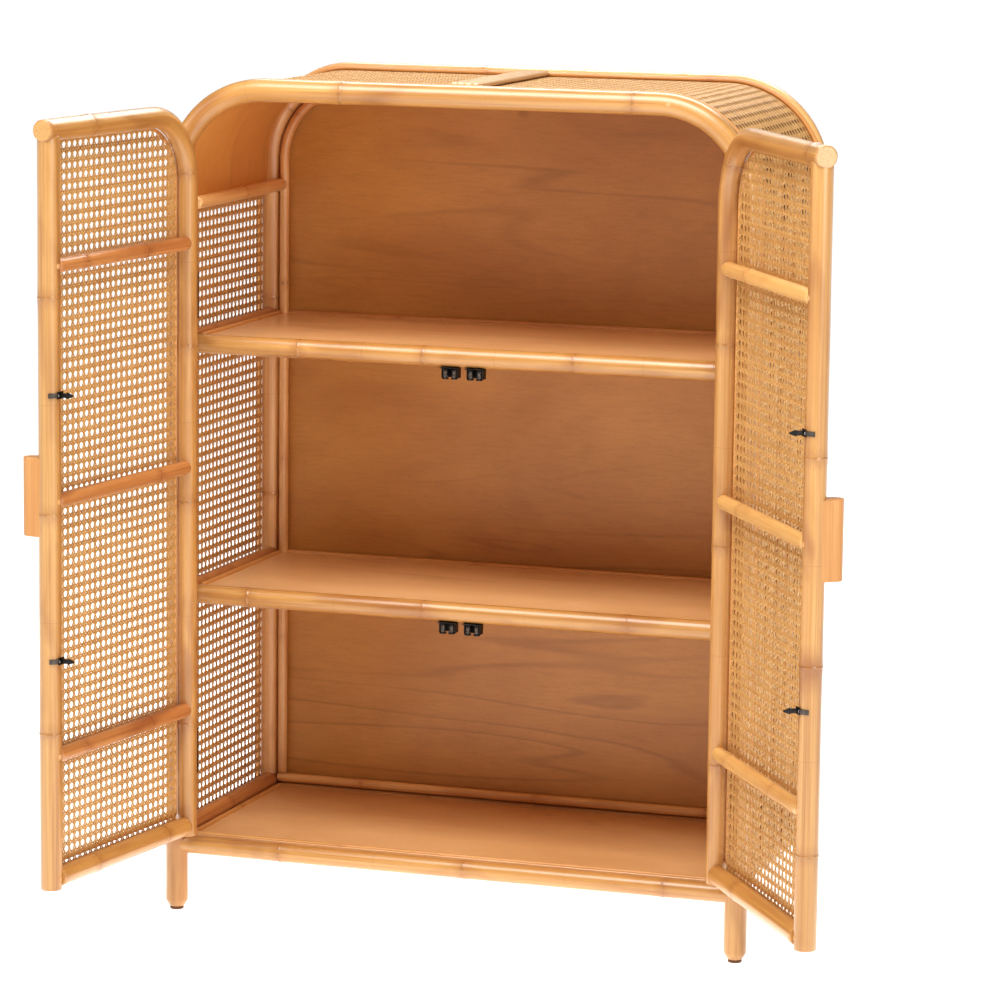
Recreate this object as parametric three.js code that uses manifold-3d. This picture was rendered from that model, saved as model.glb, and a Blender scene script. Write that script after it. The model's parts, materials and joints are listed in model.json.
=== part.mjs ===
// Rattan shoe cabinet: two bent-pole arches joined by rails, three boards, a plywood back,
// a bent plywood liner under the top, cane webbing over the sides and top, and two
// cane-filled doors on butt hinges. Millimetres, +Z up, the front faces -Y.
// The cabinet is drawn symmetric about X = 0 with the front arch in the plane Y = 0, and the
// whole group is then moved so that the origin is the middle of the front left glide's sole.
import * as THREE from 'three';
import { mergeVertices } from 'three/addons/utils/BufferGeometryUtils.js';
import Module from 'manifold-3d';

const wasm = await Module();
wasm.setup();

// ---- driving dimensions ----
const CLEAR = 0.3; // air between neighbouring pieces
const LAP = 0.4; // overlap of shapes that are joined into one piece
const OVERCUT = 1; // how far a cutting shape reaches past a face
const HALF_WIDTH = 383.5; // cabinet middle to leg axis
const DEPTH = 333; // front arch axis to rear arch axis
const POLE_R = 14.5; // arch poles
const ARCH_TOP = 1085.5; // axis height of the front arch's top
const REAR_ARCH_RISE = 4; // the rear arch stands this much taller
const ARCH_CORNER_R = 119; // bend radius of the arch axis
const CORNER_STEPS = 8; // facets of a bent pole's corner
const BAND_STEPS = 10; // facets of a bent sheet's corner

const LEG_END = 4.2; // bottom of the wooden leg
const LEG_TAPER = 8; // height of the tapered leg end
const LEG_END_R = 10;
const GLIDE_R = 9;
const GLIDE_THICK = 3.9;
const NAIL_R = 1.5;
const NAIL_LENGTH = 16;
const NAIL_POINT = 3;
const GLIDE_CHAMFER = 1;
const LEG_TOOL_Z = [-10, 960]; // straight stretch of the legs that their neighbours are cut by

const BOTTOM_RAIL_R = 11.7;
const BOTTOM_RAIL_Z = 88;
const SIDE_RAIL_R = 11;
const SIDE_RAIL_INSET = 5; // rail ends, inside the arch planes
const BOTTOM_SIDE_Z = 108;
const SHELF_POLE_R = 12.6;
const SHELF_POLE_Y = 30;
const SHELF_POLE_HALF = 374; // half the length of a shelf's front pole
const LOWER_SHELF_Z = 419.5; // axis of the lower shelf's front pole
const UPPER_SHELF_Z = 751;
const SIDE_RAIL_LIFT = 5.5; // side rails lie this much above the shelf pole axis
const TOP_RAIL_R = 8.5;
const TOP_RAIL_X = 364;
const TOP_RAIL_Z = 936;
const TOP_RAIL_AIR = 1; // top side rails to the front legs

const BOARD_THICK = 12;
const BOARD_DROP = 3; // a shelf board's face lies this far under the top of its front pole
const BOARD_SETBACK = 6; // a shelf board's front edge, behind the axis of its front pole
const BOTTOM_BOARD_TOP = 101;
const BOTTOM_BOARD_FRONT = 9;
const BOARD_HALF = 373;
const PANEL_THICK = 4;
const PANEL_FRONT = DEPTH - 2;
const PANEL_AIR = 0.5; // bottom rail to back panel
const TRIM_R = 6.5;
const TRIM_AIR = 1.5; // trim pole to rear arch pole
const BACK_TRIM_Z = 112.5;
const TRIM_STEPS = 7; // facets of the trim pole's corner
const BEAD_R = 4; // half-round beads around the boards
const FRONT_BEAD_R = 3;
const BEAD_START = 8; // side beads start this far behind a board's front edge
const BEAD_END = 3; // and stop this far from its back edge
const LINER_OFFSET = 1; // inner face of the liner, outside the arch axis
const LINER_THICK = 3;
const LINER_BOTTOM = 930;
const CANE_OFFSET = 7; // inner face of the cane, outside the arch axis
const CANE_THICK = 1.6;
const CANE_BOTTOM = 99;
const STRIP_R = 3; // binding strips along the cane's edges
const STRIP_INSET = 13.7; // strip axis to arch axis, along Y
const REAR_STRIP_INSET = 16.2;
const BATTEN_WIDTH = 38;
const BATTEN_THICK = 8;
const BATTEN_AIR = 0.7; // batten to binding strips
const BATTEN_RIBS = 4;
const RIB_STEPS = 6; // facets of one rib

const GAP = 3.2; // between leg and hinge stile, doors closed
const MEETING_GAP = 3; // between the two meeting stiles
const DOOR_POLE_R = 13.75;
const DOOR_TOP = 1054.5; // axis height of the door's top rail
const DOOR_CORNER_R = 88;
const DOOR_BOTTOM = 108; // lower ends of the stiles
const DOOR_RAIL_R = 12.5;
const DOOR_RAIL_Z = 123;
const DOOR_RAIL_IN = 5; // bottom rail axis, inside the stile plane
const CROSS_R = 9.25;
const CROSS_IN = 5;
const CROSS_Z = [278, 598, 889];
const RAIL_TIP = 7; // rounded rail ends, from the hinge stile's axis
const RAIL_BUTT = 9; // square rail ends, from the meeting stile's axis
const RAIL_PROUD = 0.5; // the top rail's end past the meeting stile
const DOOR_CANE_OUT = 6; // inner face of the door cane, outside the stile plane
const DOOR_CANE_AIR = 0.5; // cane to stiles
const DOOR_CANE_FOOT = 7; // lower edge of the cane, above the bottom rail's axis
const OPEN_LEFT = 97.4; // degrees from closed, in the modelled pose
const OPEN_RIGHT = 124.2;

const HINGE_Y = -12; // knuckle axis in front of the arch plane
const HINGE_Z = [220, 820];
const HINGE_LENGTH = 60;
const RECESS_REACH = 4; // hinge recesses reach this far past the knuckle axis
const RECESS_AIR = 0.5;
const LEAF_NEAR = 0.6;
const LEAF_THICK = 1.5;
const LEAF_DEPTH = 21;
const KNUCKLE_R = 3.1;
const PIN_R = 1.25;
const BORE_R = 1.5;
const PIN_INSET = 1; // pin ends, inside the knuckles

const HANDLE_Z = 603;
const HANDLE_LENGTH = 98;
const HANDLE_R = 12;
const HANDLE_REACH = 22;
const HANDLE_SADDLE = 4; // depth of the block over the stile's axis
const HANDLE_BEVEL = 1.5;
const HANDLE_STEPS = 8; // facets of the half-round nose
const CATCH_X = 17;
const CATCH_HALF = 11;
const CATCH_Y = [20, 38];
const CATCH_HEIGHT = 15;
const CATCH_AIR = 0.4; // catch to shelf pole
const CATCH_WALL = 1.5;
const CATCH_PLATE = 1.2; // plate that holds a pair of catches
const CATCH_MARGIN = 2; // plate ends past the catches
const ROLLER_R = 3.1;
const ROLLER_X = 5.9;
const ROLLER_FORWARD = 1; // rollers in front of the housing's middle
const ROLLER_INSET = 0.8; // roller ends, inside the housing's height
const STRIKE_DROP = 7.5; // strike's middle under the top of its catch
const STRIKE_HALF = 6.5;
const STRIKE_HALF_HEIGHT = 5.5;
const STRIKE_PLATE = 1.4;
const STRIKE_THICK = 3;
const NECK_HALF = 2.8; // half heights of the spear's neck, barb and nose
const BARB_HALF = 4;
const NOSE_HALF = 1;
const NECK_START = 1; // distances from the stile's face
const BARB_START = 11;
const NOSE = 19;

const FINE = 16; // sides of a thick pole
const COARSE = 12; // sides of a thin one
const THIN = 8; // sides of a bead, a strip or a nail bore

// ---- materials ----
function material(colour, roughness, metalness = 0) {
  return new THREE.MeshStandardMaterial({ color: colour, roughness, metalness });
}
const rattan = () => material(0xd9a066, 0.42);
const ply = () => material(0xb87a48, 0.5);
const caneLook = () => material(0xd0a065, 0.6);
const darkMetal = () => material(0x33302f, 0.45, 0.8);
const nylon = () => material(0x2c2a29, 0.6);

// ---- solids and booleans ----
function toSolid(geometry) {
  const bare = geometry.clone();
  bare.deleteAttribute('normal');
  bare.deleteAttribute('uv');
  const merged = mergeVertices(bare, 1e-4);
  return new wasm.Manifold(new wasm.Mesh({
    numProp: 3,
    vertProperties: new Float32Array(merged.attributes.position.array),
    triVerts: new Uint32Array(merged.index.array),
  }));
}

function toGeometry(solid) {
  const mesh = solid.getMesh();
  const geometry = new THREE.BufferGeometry();
  geometry.setAttribute('position', new THREE.BufferAttribute(new Float32Array(mesh.vertProperties), 3));
  geometry.setIndex(new THREE.BufferAttribute(new Uint32Array(mesh.triVerts), 1));
  geometry.computeVertexNormals();
  return geometry;
}

function cut(target, ...tools) {
  let solid = toSolid(target);
  for (const tool of tools) solid = solid.subtract(toSolid(tool));
  return toGeometry(solid);
}

function join(first, ...others) {
  let solid = toSolid(first);
  for (const other of others) solid = solid.add(toSolid(other));
  return toGeometry(solid);
}

function mirrorX(geometry) {
  const flipped = mergeVertices(geometry.clone(), 1e-4);
  flipped.scale(-1, 1, 1);
  const index = flipped.index.array;
  for (let i = 0; i < index.length; i += 3) {
    const kept = index[i];
    index[i] = index[i + 2];
    index[i + 2] = kept;
  }
  flipped.computeVertexNormals();
  return flipped;
}

// ---- shapes ----
function box(x0, x1, y0, y1, z0, z1) {
  const geometry = new THREE.BoxGeometry(x1 - x0, y1 - y0, z1 - z0);
  return geometry.translate((x0 + x1) / 2, (y0 + y1) / 2, (z0 + z1) / 2);
}

// A straight round pole between two points.
function pole(from, to, radius, sides = COARSE) {
  const a = new THREE.Vector3(...from);
  const b = new THREE.Vector3(...to);
  const way = b.clone().sub(a);
  const geometry = new THREE.CylinderGeometry(radius, radius, way.length(), sides);
  const up = new THREE.Vector3(0, 1, 0);
  geometry.applyQuaternion(new THREE.Quaternion().setFromUnitVectors(up, way.clone().normalize()));
  const middle = a.add(b).multiplyScalar(0.5);
  return geometry.translate(middle.x, middle.y, middle.z);
}

// A path through given points, one extrusion step to each.
class PointPath extends THREE.Curve {
  constructor(points) {
    super();
    this.points = points;
  }

  getPoint(t, target = new THREE.Vector3()) {
    const last = this.points.length - 1;
    const i = Math.min(Math.floor(t * last), last - 1);
    return target.lerpVectors(this.points[i], this.points[i + 1], t * last - i);
  }

  getPointAt(u, target) {
    return this.getPoint(u, target);
  }

  getSpacedPoints() {
    return this.points.map((point) => point.clone());
  }

  getTangentAt(u, target = new THREE.Vector3()) {
    const last = this.points.length - 1;
    const i = Math.round(u * last);
    const before = this.points[Math.max(i - 1, 0)];
    const after = this.points[Math.min(i + 1, last)];
    const here = this.points[i];
    const arriving = here.clone().sub(before).normalize();
    const leaving = after.clone().sub(here).normalize();
    return target.copy(arriving).add(leaving).normalize();
  }
}

function disc(radius, sides) {
  const points = [];
  for (let i = 0; i < sides; i += 1) {
    const angle = ((i + 0.5) / sides) * 2 * Math.PI;
    points.push(new THREE.Vector2(radius * Math.cos(angle), radius * Math.sin(angle)));
  }
  return new THREE.Shape(points);
}

function sweep(section, points) {
  const path = new PointPath(points);
  return new THREE.ExtrudeGeometry(section, {
    steps: points.length - 1,
    extrudePath: path,
    bevelEnabled: false,
  });
}

function tube(points, radius, sides = COARSE) {
  return sweep(disc(radius, sides), points);
}

// [x, z] points of an inverted U: half width, top, corner radius and lower end.
function archOutline(half, top, corner, bottom, steps = CORNER_STEPS) {
  const points = [[-half, bottom]];
  for (let i = 0; i <= steps; i += 1) {
    const angle = (i / steps) * (Math.PI / 2);
    points.push([-half + corner * (1 - Math.cos(angle)), top - corner * (1 - Math.sin(angle))]);
  }
  const mirrored = points.map(([x, z]) => [-x, z]).reverse();
  return points.concat(mirrored);
}

function at(points, y) {
  return points.map(([x, z]) => new THREE.Vector3(x, y, z));
}

// A flat outline in X and Z, given depth from y0 to y1.
function slab(outline, y0, y1) {
  const shape = new THREE.Shape(outline.map(([x, z]) => new THREE.Vector2(x, z)));
  const geometry = new THREE.ExtrudeGeometry(shape, { depth: y1 - y0, bevelEnabled: false });
  return geometry.rotateX(Math.PI / 2).translate(0, y1, 0);
}

// The left half of a sheet bent over the arch, from its lower edge to x = seam.
function halfBand(inner, thick, top, bottom, seam) {
  const near = archOutline(HALF_WIDTH + inner, top + inner, ARCH_CORNER_R + inner, bottom, BAND_STEPS);
  const far = archOutline(HALF_WIDTH + inner + thick, top + inner + thick,
    ARCH_CORNER_R + inner + thick, bottom, BAND_STEPS);
  const half = near.length / 2;
  const innerSide = near.slice(0, half).concat([[seam, top + inner]]);
  const outerSide = far.slice(0, half).concat([[seam, top + inner + thick]]);
  return innerSide.concat(outerSide.reverse());
}

const root = new THREE.Group();

function add(name, geometry, look, parent = root) {
  const mesh = new THREE.Mesh(geometry, look);
  mesh.name = name;
  parent.add(mesh);
  return mesh;
}

// ---- arches with tapered, bored leg ends ----
function archPole(y, top) {
  const shoulder = LEG_END + LEG_TAPER;
  const bent = tube(at(archOutline(HALF_WIDTH, top, ARCH_CORNER_R, shoulder), y), POLE_R, FINE);
  const pieces = [];
  const bores = [];
  for (const side of [-1, 1]) {
    const taper = new THREE.CylinderGeometry(POLE_R, LEG_END_R, LEG_TAPER + LAP, FINE);
    taper.rotateX(Math.PI / 2).rotateZ(Math.PI / FINE);
    taper.translate(side * HALF_WIDTH, y, LEG_END + (LEG_TAPER + LAP) / 2);
    pieces.push(taper);
    bores.push(pole([side * HALF_WIDTH, y, LEG_END - OVERCUT],
      [side * HALF_WIDTH, y, LEG_END + NAIL_LENGTH], NAIL_R + CLEAR, THIN));
  }
  return cut(join(bent, ...pieces), ...bores);
}

function legTool(side, y) {
  const [low, high] = LEG_TOOL_Z;
  return pole([side * HALF_WIDTH, y, low], [side * HALF_WIDTH, y, high], POLE_R + CLEAR, FINE);
}

const legs = [];
for (const side of [-1, 1]) legs.push(legTool(side, 0), legTool(side, DEPTH));

// Flats planed on the front legs for the hinge leaves.
const hingeX = HALF_WIDTH - POLE_R - GAP / 2;
const recesses = [];
for (const z of HINGE_Z) {
  for (const side of [-1, 1]) {
    const near = side * (hingeX - RECESS_REACH);
    const far = side * (hingeX + LEAF_NEAR + LEAF_THICK + CLEAR);
    const half = HINGE_LENGTH / 2 + RECESS_AIR;
    recesses.push(box(Math.min(near, far), Math.max(near, far), HINGE_Y - RECESS_REACH,
      HINGE_Y + LEAF_DEPTH + RECESS_AIR, z - half, z + half));
  }
}
add('front_arch', cut(archPole(0, ARCH_TOP), ...recesses), rattan());
add('rear_arch', archPole(DEPTH, ARCH_TOP + REAR_ARCH_RISE), rattan());

// ---- glides: a sole disc with its nail ----
function glide(x, y) {
  const profile = [
    [0, 0], [GLIDE_R - GLIDE_CHAMFER, 0], [GLIDE_R, GLIDE_CHAMFER], [GLIDE_R, GLIDE_THICK],
    [NAIL_R, GLIDE_THICK], [NAIL_R, GLIDE_THICK + NAIL_LENGTH - NAIL_POINT],
    [0, GLIDE_THICK + NAIL_LENGTH],
  ];
  const points = profile.map(([r, z]) => new THREE.Vector2(r, z));
  const geometry = new THREE.LatheGeometry(points, COARSE);
  return toGeometry(toSolid(geometry.rotateX(Math.PI / 2).translate(x, y, 0)));
}
add('glide_front_left', glide(-HALF_WIDTH, 0), nylon());
add('glide_front_right', glide(HALF_WIDTH, 0), nylon());
add('glide_rear_left', glide(-HALF_WIDTH, DEPTH), nylon());
add('glide_rear_right', glide(HALF_WIDTH, DEPTH), nylon());

// ---- rails, coped onto the legs ----
function crossPole(y, z, radius) {
  return cut(pole([-HALF_WIDTH, y, z], [HALF_WIDTH, y, z], radius, COARSE), ...legs);
}
// Side rails touch the inside of the cane.
const sideRailX = HALF_WIDTH + CANE_OFFSET - CLEAR - SIDE_RAIL_R;
function sidePole(side, z, grow = 0) {
  const x = side * sideRailX;
  return pole([x, SIDE_RAIL_INSET, z], [x, DEPTH - SIDE_RAIL_INSET, z], SIDE_RAIL_R + grow);
}
add('bottom_rail_front', crossPole(0, BOTTOM_RAIL_Z, BOTTOM_RAIL_R), rattan());
add('bottom_rail_rear', crossPole(DEPTH, BOTTOM_RAIL_Z, BOTTOM_RAIL_R), rattan());
const sideRailZ = {
  bottom: BOTTOM_SIDE_Z,
  lower_shelf: LOWER_SHELF_Z + SIDE_RAIL_LIFT,
  upper_shelf: UPPER_SHELF_Z + SIDE_RAIL_LIFT,
};
for (const [level, z] of Object.entries(sideRailZ)) {
  add(`side_rail_${level}_left`, cut(sidePole(-1, z), ...legs), rattan());
  add(`side_rail_${level}_right`, cut(sidePole(1, z), ...legs), rattan());
}

// The top side rails lie inside the legs and stop at the back panel's trim.
const trimY = PANEL_FRONT - CLEAR - TRIM_R;
for (const [name, side] of [['left', -1], ['right', 1]]) {
  const x = side * TOP_RAIL_X;
  add(`top_side_rail_${name}`, pole([x, POLE_R + TOP_RAIL_AIR, TOP_RAIL_Z],
    [x, trimY - TRIM_R - CLEAR, TOP_RAIL_Z], TOP_RAIL_R), rattan());
}

// ---- back panel and its trim poles ----
const trimHalf = HALF_WIDTH - POLE_R - TRIM_R - TRIM_AIR;
const trimTop = ARCH_TOP + REAR_ARCH_RISE - POLE_R - TRIM_R - TRIM_AIR;
const trimCorner = ARCH_CORNER_R - POLE_R - TRIM_R - TRIM_AIR;
const trimFoot = BACK_TRIM_Z + TRIM_R + CLEAR;
function backTrim(extra) {
  const outline = archOutline(trimHalf, trimTop, trimCorner, trimFoot - extra, TRIM_STEPS);
  return tube(at(outline, trimY), TRIM_R + extra, COARSE);
}
add('back_trim_arch', backTrim(0), rattan());
add('back_trim_bottom', pole([-trimHalf - TRIM_R, trimY, BACK_TRIM_Z],
  [trimHalf + TRIM_R, trimY, BACK_TRIM_Z], TRIM_R), rattan());

const panelTop = ARCH_TOP + REAR_ARCH_RISE - POLE_R - CLEAR;
const panelOutline = archOutline(HALF_WIDTH - POLE_R - CLEAR, panelTop,
  ARCH_CORNER_R - POLE_R - CLEAR, BOTTOM_RAIL_Z + BOTTOM_RAIL_R + PANEL_AIR, BAND_STEPS);
add('back_panel', slab(panelOutline, PANEL_FRONT, PANEL_FRONT + PANEL_THICK), ply());

// ---- boards and shelf poles ----
const sideRailTools = [];
for (const z of Object.values(sideRailZ)) {
  for (const side of [-1, 1]) sideRailTools.push(sidePole(side, z, CLEAR));
}
const boardBack = PANEL_FRONT - CLEAR;
// A board with its beads along the sides and the back, and at the front if asked.
function board(front, top, frontBead, ...tools) {
  const blank = box(-BOARD_HALF, BOARD_HALF, front, boardBack, top - BOARD_THICK, top);
  const beadX = sideRailX - SIDE_RAIL_R - BEAD_R - CLEAR;
  const [start, end] = [front + BEAD_START, boardBack - BEAD_END];
  const beads = [
    pole([-beadX, start, top], [-beadX, end, top], BEAD_R, THIN),
    pole([beadX, start, top], [beadX, end, top], BEAD_R, THIN),
    pole([-beadX, boardBack - BEAD_R, top], [beadX, boardBack - BEAD_R, top], BEAD_R, THIN),
  ];
  if (frontBead) {
    beads.push(pole([-beadX, front + BEAD_R, top], [beadX, front + BEAD_R, top], FRONT_BEAD_R, THIN));
  }
  return cut(join(blank, ...beads), ...legs, ...sideRailTools, ...tools);
}
for (const [name, z] of [['lower', LOWER_SHELF_Z], ['upper', UPPER_SHELF_Z]]) {
  const front = [SHELF_POLE_HALF, SHELF_POLE_Y, z];
  const far = [-SHELF_POLE_HALF, SHELF_POLE_Y, z];
  const grown = pole(far, front, SHELF_POLE_R + CLEAR, FINE);
  add(`${name}_shelf_pole`, cut(pole(far, front, SHELF_POLE_R, FINE), ...sideRailTools), rattan());
  const top = z + SHELF_POLE_R - BOARD_DROP;
  add(`${name}_shelf_board`, board(SHELF_POLE_Y + BOARD_SETBACK, top, false, grown, backTrim(CLEAR)), ply());
}
const railTools = [0, DEPTH].map((y) => pole([-HALF_WIDTH, y, BOTTOM_RAIL_Z],
  [HALF_WIDTH, y, BOTTOM_RAIL_Z], BOTTOM_RAIL_R + CLEAR));
add('bottom_board', board(BOTTOM_BOARD_FRONT, BOTTOM_BOARD_TOP, true, ...railTools), ply());

// ---- bent liner and cane over the sides and top ----
const wrapFront = POLE_R + CLEAR;
const wrapBack = DEPTH - POLE_R - CLEAR;
const inner = archOutline(HALF_WIDTH + LINER_OFFSET, ARCH_TOP + LINER_OFFSET,
  ARCH_CORNER_R + LINER_OFFSET, LINER_BOTTOM, BAND_STEPS);
const outer = archOutline(HALF_WIDTH + LINER_OFFSET + LINER_THICK,
  ARCH_TOP + LINER_OFFSET + LINER_THICK, ARCH_CORNER_R + LINER_OFFSET + LINER_THICK,
  LINER_BOTTOM, BAND_STEPS);
add('top_liner', slab(inner.concat(outer.reverse()), wrapFront, wrapBack), ply());
const caneLeft = slab(halfBand(CANE_OFFSET, CANE_THICK, ARCH_TOP, CANE_BOTTOM, -CLEAR),
  wrapFront, wrapBack);
add('cane_left', caneLeft, caneLook());
add('cane_right', mirrorX(caneLeft), caneLook());

// ---- binding strips over the cane's edges, and the batten over its seam ----
const stripOffset = CANE_OFFSET + CANE_THICK + CLEAR + STRIP_R;
function strip(y) {
  return tube(at(archOutline(HALF_WIDTH + stripOffset, ARCH_TOP + stripOffset,
    ARCH_CORNER_R + stripOffset, CANE_BOTTOM, BAND_STEPS), y), STRIP_R, THIN);
}
add('edge_strip_front', strip(STRIP_INSET), rattan());
add('edge_strip_rear', strip(DEPTH - REAR_STRIP_INSET), rattan());

// Half-round ribs side by side.
const battenFloor = ARCH_TOP + CANE_OFFSET + CANE_THICK + CLEAR;
const ribR = BATTEN_WIDTH / 2 / BATTEN_RIBS;
const battenOutline = [[-BATTEN_WIDTH / 2, battenFloor]];
for (let rib = 0; rib < BATTEN_RIBS; rib += 1) {
  const middle = -BATTEN_WIDTH / 2 + ribR * (2 * rib + 1);
  for (let i = 0; i < RIB_STEPS; i += 1) {
    const angle = Math.PI * (1 - (i + 0.5) / RIB_STEPS);
    battenOutline.push([middle + ribR * Math.cos(angle),
      battenFloor + BATTEN_THICK - ribR + ribR * Math.sin(angle)]);
  }
}
battenOutline.push([BATTEN_WIDTH / 2, battenFloor]);
add('top_batten', slab(battenOutline, STRIP_INSET + STRIP_R + BATTEN_AIR,
  DEPTH - REAR_STRIP_INSET - STRIP_R - BATTEN_AIR), rattan());

// ---- roller catches under the shelf poles: one pair to a plate ----
function catchPair(top) {
  const pieces = [];
  for (const middle of [-CATCH_X, CATCH_X]) {
    const [y0, y1] = CATCH_Y;
    const low = top - CATCH_HEIGHT;
    for (const side of [-1, 1]) {
      const a = middle + side * CATCH_HALF;
      const b = middle + side * (ROLLER_X + ROLLER_R - LAP);
      pieces.push(box(Math.min(a, b), Math.max(a, b), y0, y1, low, top));
      const x = middle + side * ROLLER_X;
      const y = (y0 + y1) / 2 - ROLLER_FORWARD;
      pieces.push(pole([x, y, low + ROLLER_INSET], [x, y, top - ROLLER_INSET], ROLLER_R));
    }
    pieces.push(box(middle - CATCH_HALF, middle + CATCH_HALF, y1 - CATCH_WALL, y1, low,
      top));
  }
  const reach = CATCH_X + CATCH_HALF + CATCH_MARGIN;
  const plate = box(-reach, reach, CATCH_Y[0] + ROLLER_FORWARD, CATCH_Y[1], top - CATCH_PLATE, top);
  return join(plate, ...pieces);
}
const catchTop = {
  lower: LOWER_SHELF_Z - SHELF_POLE_R - CATCH_AIR,
  upper: UPPER_SHELF_Z - SHELF_POLE_R - CATCH_AIR,
};
for (const [level, top] of Object.entries(catchTop)) {
  add(`roller_catches_${level}`, catchPair(top), darkMetal());
}

// ---- hinges: the fixed leaf has two knuckles and the pin, the door leaf the middle one ----
// Drawn for the left door about the knuckle axis, with the leg at -X and the door at +X.
const knuckleThird = HINGE_LENGTH / 3;
function leafPlate(side, z) {
  const near = side * LEAF_NEAR;
  const far = side * (LEAF_NEAR + LEAF_THICK);
  return box(Math.min(near, far), Math.max(near, far), 0, LEAF_DEPTH,
    z - HINGE_LENGTH / 2, z + HINGE_LENGTH / 2);
}
function barrel(z0, z1, radius) {
  return pole([0, 0, z0], [0, 0, z1], radius);
}
function fixedLeaf(z) {
  const low = z - HINGE_LENGTH / 2;
  const gap = barrel(z - knuckleThird / 2 - CLEAR, z + knuckleThird / 2 + CLEAR, KNUCKLE_R + CLEAR);
  const leaf = cut(join(leafPlate(-1, z), barrel(low, low + HINGE_LENGTH, KNUCKLE_R)), gap);
  return join(leaf, barrel(low + PIN_INSET, low + HINGE_LENGTH - PIN_INSET, PIN_R));
}
function doorLeaf(z) {
  const low = z - HINGE_LENGTH / 2;
  const high = z + HINGE_LENGTH / 2;
  const middle = barrel(z - knuckleThird / 2, z + knuckleThird / 2, KNUCKLE_R);
  const lower = barrel(low - OVERCUT, z - knuckleThird / 2, KNUCKLE_R + CLEAR);
  const upper = barrel(z + knuckleThird / 2, high + OVERCUT, KNUCKLE_R + CLEAR);
  return cut(join(cut(leafPlate(1, z), lower, upper), middle), barrel(low, high, BORE_R));
}

// ---- a door, drawn closed for the left side: origin on the hinge axis, +X to the middle ----
const stileX = GAP / 2 + DOOR_POLE_R;
const stileY = -HINGE_Y;
const meetingX = hingeX - MEETING_GAP / 2 - DOOR_POLE_R;
const doorEnd = meetingX + DOOR_POLE_R + RAIL_PROUD;

function doorOutline(inset, bottom, end, steps) {
  const corner = DOOR_CORNER_R - inset;
  const left = stileX + inset;
  const top = DOOR_TOP - inset;
  const points = [[left, bottom]];
  for (let i = 0; i <= steps; i += 1) {
    const angle = (i / steps) * (Math.PI / 2);
    points.push([left + corner * (1 - Math.cos(angle)), top - corner * (1 - Math.sin(angle))]);
  }
  points.push([end, top]);
  return points;
}

const bentDoorPole = (grow) => tube(at(doorOutline(0, DOOR_BOTTOM - grow, doorEnd + grow,
  CORNER_STEPS), stileY), DOOR_POLE_R + grow, FINE);
const meetingPole = (grow) => pole([meetingX, stileY, DOOR_BOTTOM - grow], [meetingX, stileY, DOOR_TOP],
  DOOR_POLE_R + grow, FINE);

// A rail lapped over the hinge stile with a rounded end, and butted on the meeting stile.
function lappedRail(z, inside, radius) {
  const y = stileY + inside;
  const round = new THREE.SphereGeometry(radius, COARSE, 8);
  const start = stileX + RAIL_TIP + radius;
  round.rotateZ(Math.PI / 2).translate(start, y, z);
  const straight = pole([start, y, z], [meetingX - RAIL_BUTT, y, z], radius);
  return cut(join(straight, round), bentDoorPole(CLEAR), meetingPole(CLEAR));
}

function doorCane() {
  const edge = Math.sqrt(DOOR_POLE_R ** 2 - DOOR_CANE_OUT ** 2) + DOOR_CANE_AIR;
  const bottom = DOOR_RAIL_Z + DOOR_CANE_FOOT;
  const outline = doorOutline(edge, bottom, meetingX - edge, CORNER_STEPS);
  outline.push([meetingX - edge, bottom]);
  const inner = stileY - DOOR_CANE_OUT;
  return slab(outline, inner - CANE_THICK, inner);
}

function handle() {
  const front = stileY - DOOR_POLE_R - HANDLE_REACH + HANDLE_R;
  const foot = stileY - HANDLE_SADDLE;
  const points = [new THREE.Vector2(-HANDLE_R, foot), new THREE.Vector2(-HANDLE_R, front)];
  for (let i = 1; i < HANDLE_STEPS; i += 1) {
    const angle = Math.PI * (1 + i / HANDLE_STEPS);
    points.push(new THREE.Vector2(HANDLE_R * Math.cos(angle), front + HANDLE_R * Math.sin(angle)));
  }
  points.push(new THREE.Vector2(HANDLE_R, front), new THREE.Vector2(HANDLE_R, foot));
  const block = new THREE.ExtrudeGeometry(new THREE.Shape(points), {
    depth: HANDLE_LENGTH - 2 * HANDLE_BEVEL,
    bevelEnabled: true,
    bevelThickness: HANDLE_BEVEL,
    bevelSize: HANDLE_BEVEL,
    bevelOffset: -HANDLE_BEVEL,
    bevelSegments: 1,
  });
  block.translate(meetingX, 0, HANDLE_Z - HANDLE_LENGTH / 2 + HANDLE_BEVEL);
  return cut(block, meetingPole(CLEAR));
}

// A plate screwed on the meeting stile's inner face, with a spear for the roller catch.
function strike(z) {
  const x = hingeX - CATCH_X;
  const face = stileY + DOOR_POLE_R + CLEAR;
  const plate = box(x - STRIKE_HALF, x + STRIKE_HALF, face, face + STRIKE_PLATE,
    z - STRIKE_HALF_HEIGHT, z + STRIKE_HALF_HEIGHT);
  const upper = [[NECK_START, NECK_HALF], [BARB_START, NECK_HALF], [BARB_START, BARB_HALF], [NOSE, NOSE_HALF]];
  const lower = upper.map(([out, height]) => [out, -height]).reverse();
  const spear = new THREE.Shape(upper.concat(lower)
    .map(([out, height]) => new THREE.Vector2(face + out, height)));
  const blade = new THREE.ExtrudeGeometry(spear, { depth: STRIKE_THICK, bevelEnabled: false });
  const turn = new THREE.Matrix4().makeBasis(new THREE.Vector3(0, 1, 0),
    new THREE.Vector3(0, 0, 1), new THREE.Vector3(1, 0, 0));
  blade.applyMatrix4(turn).translate(x - STRIKE_THICK / 2, 0, z);
  return join(plate, blade);
}

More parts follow.
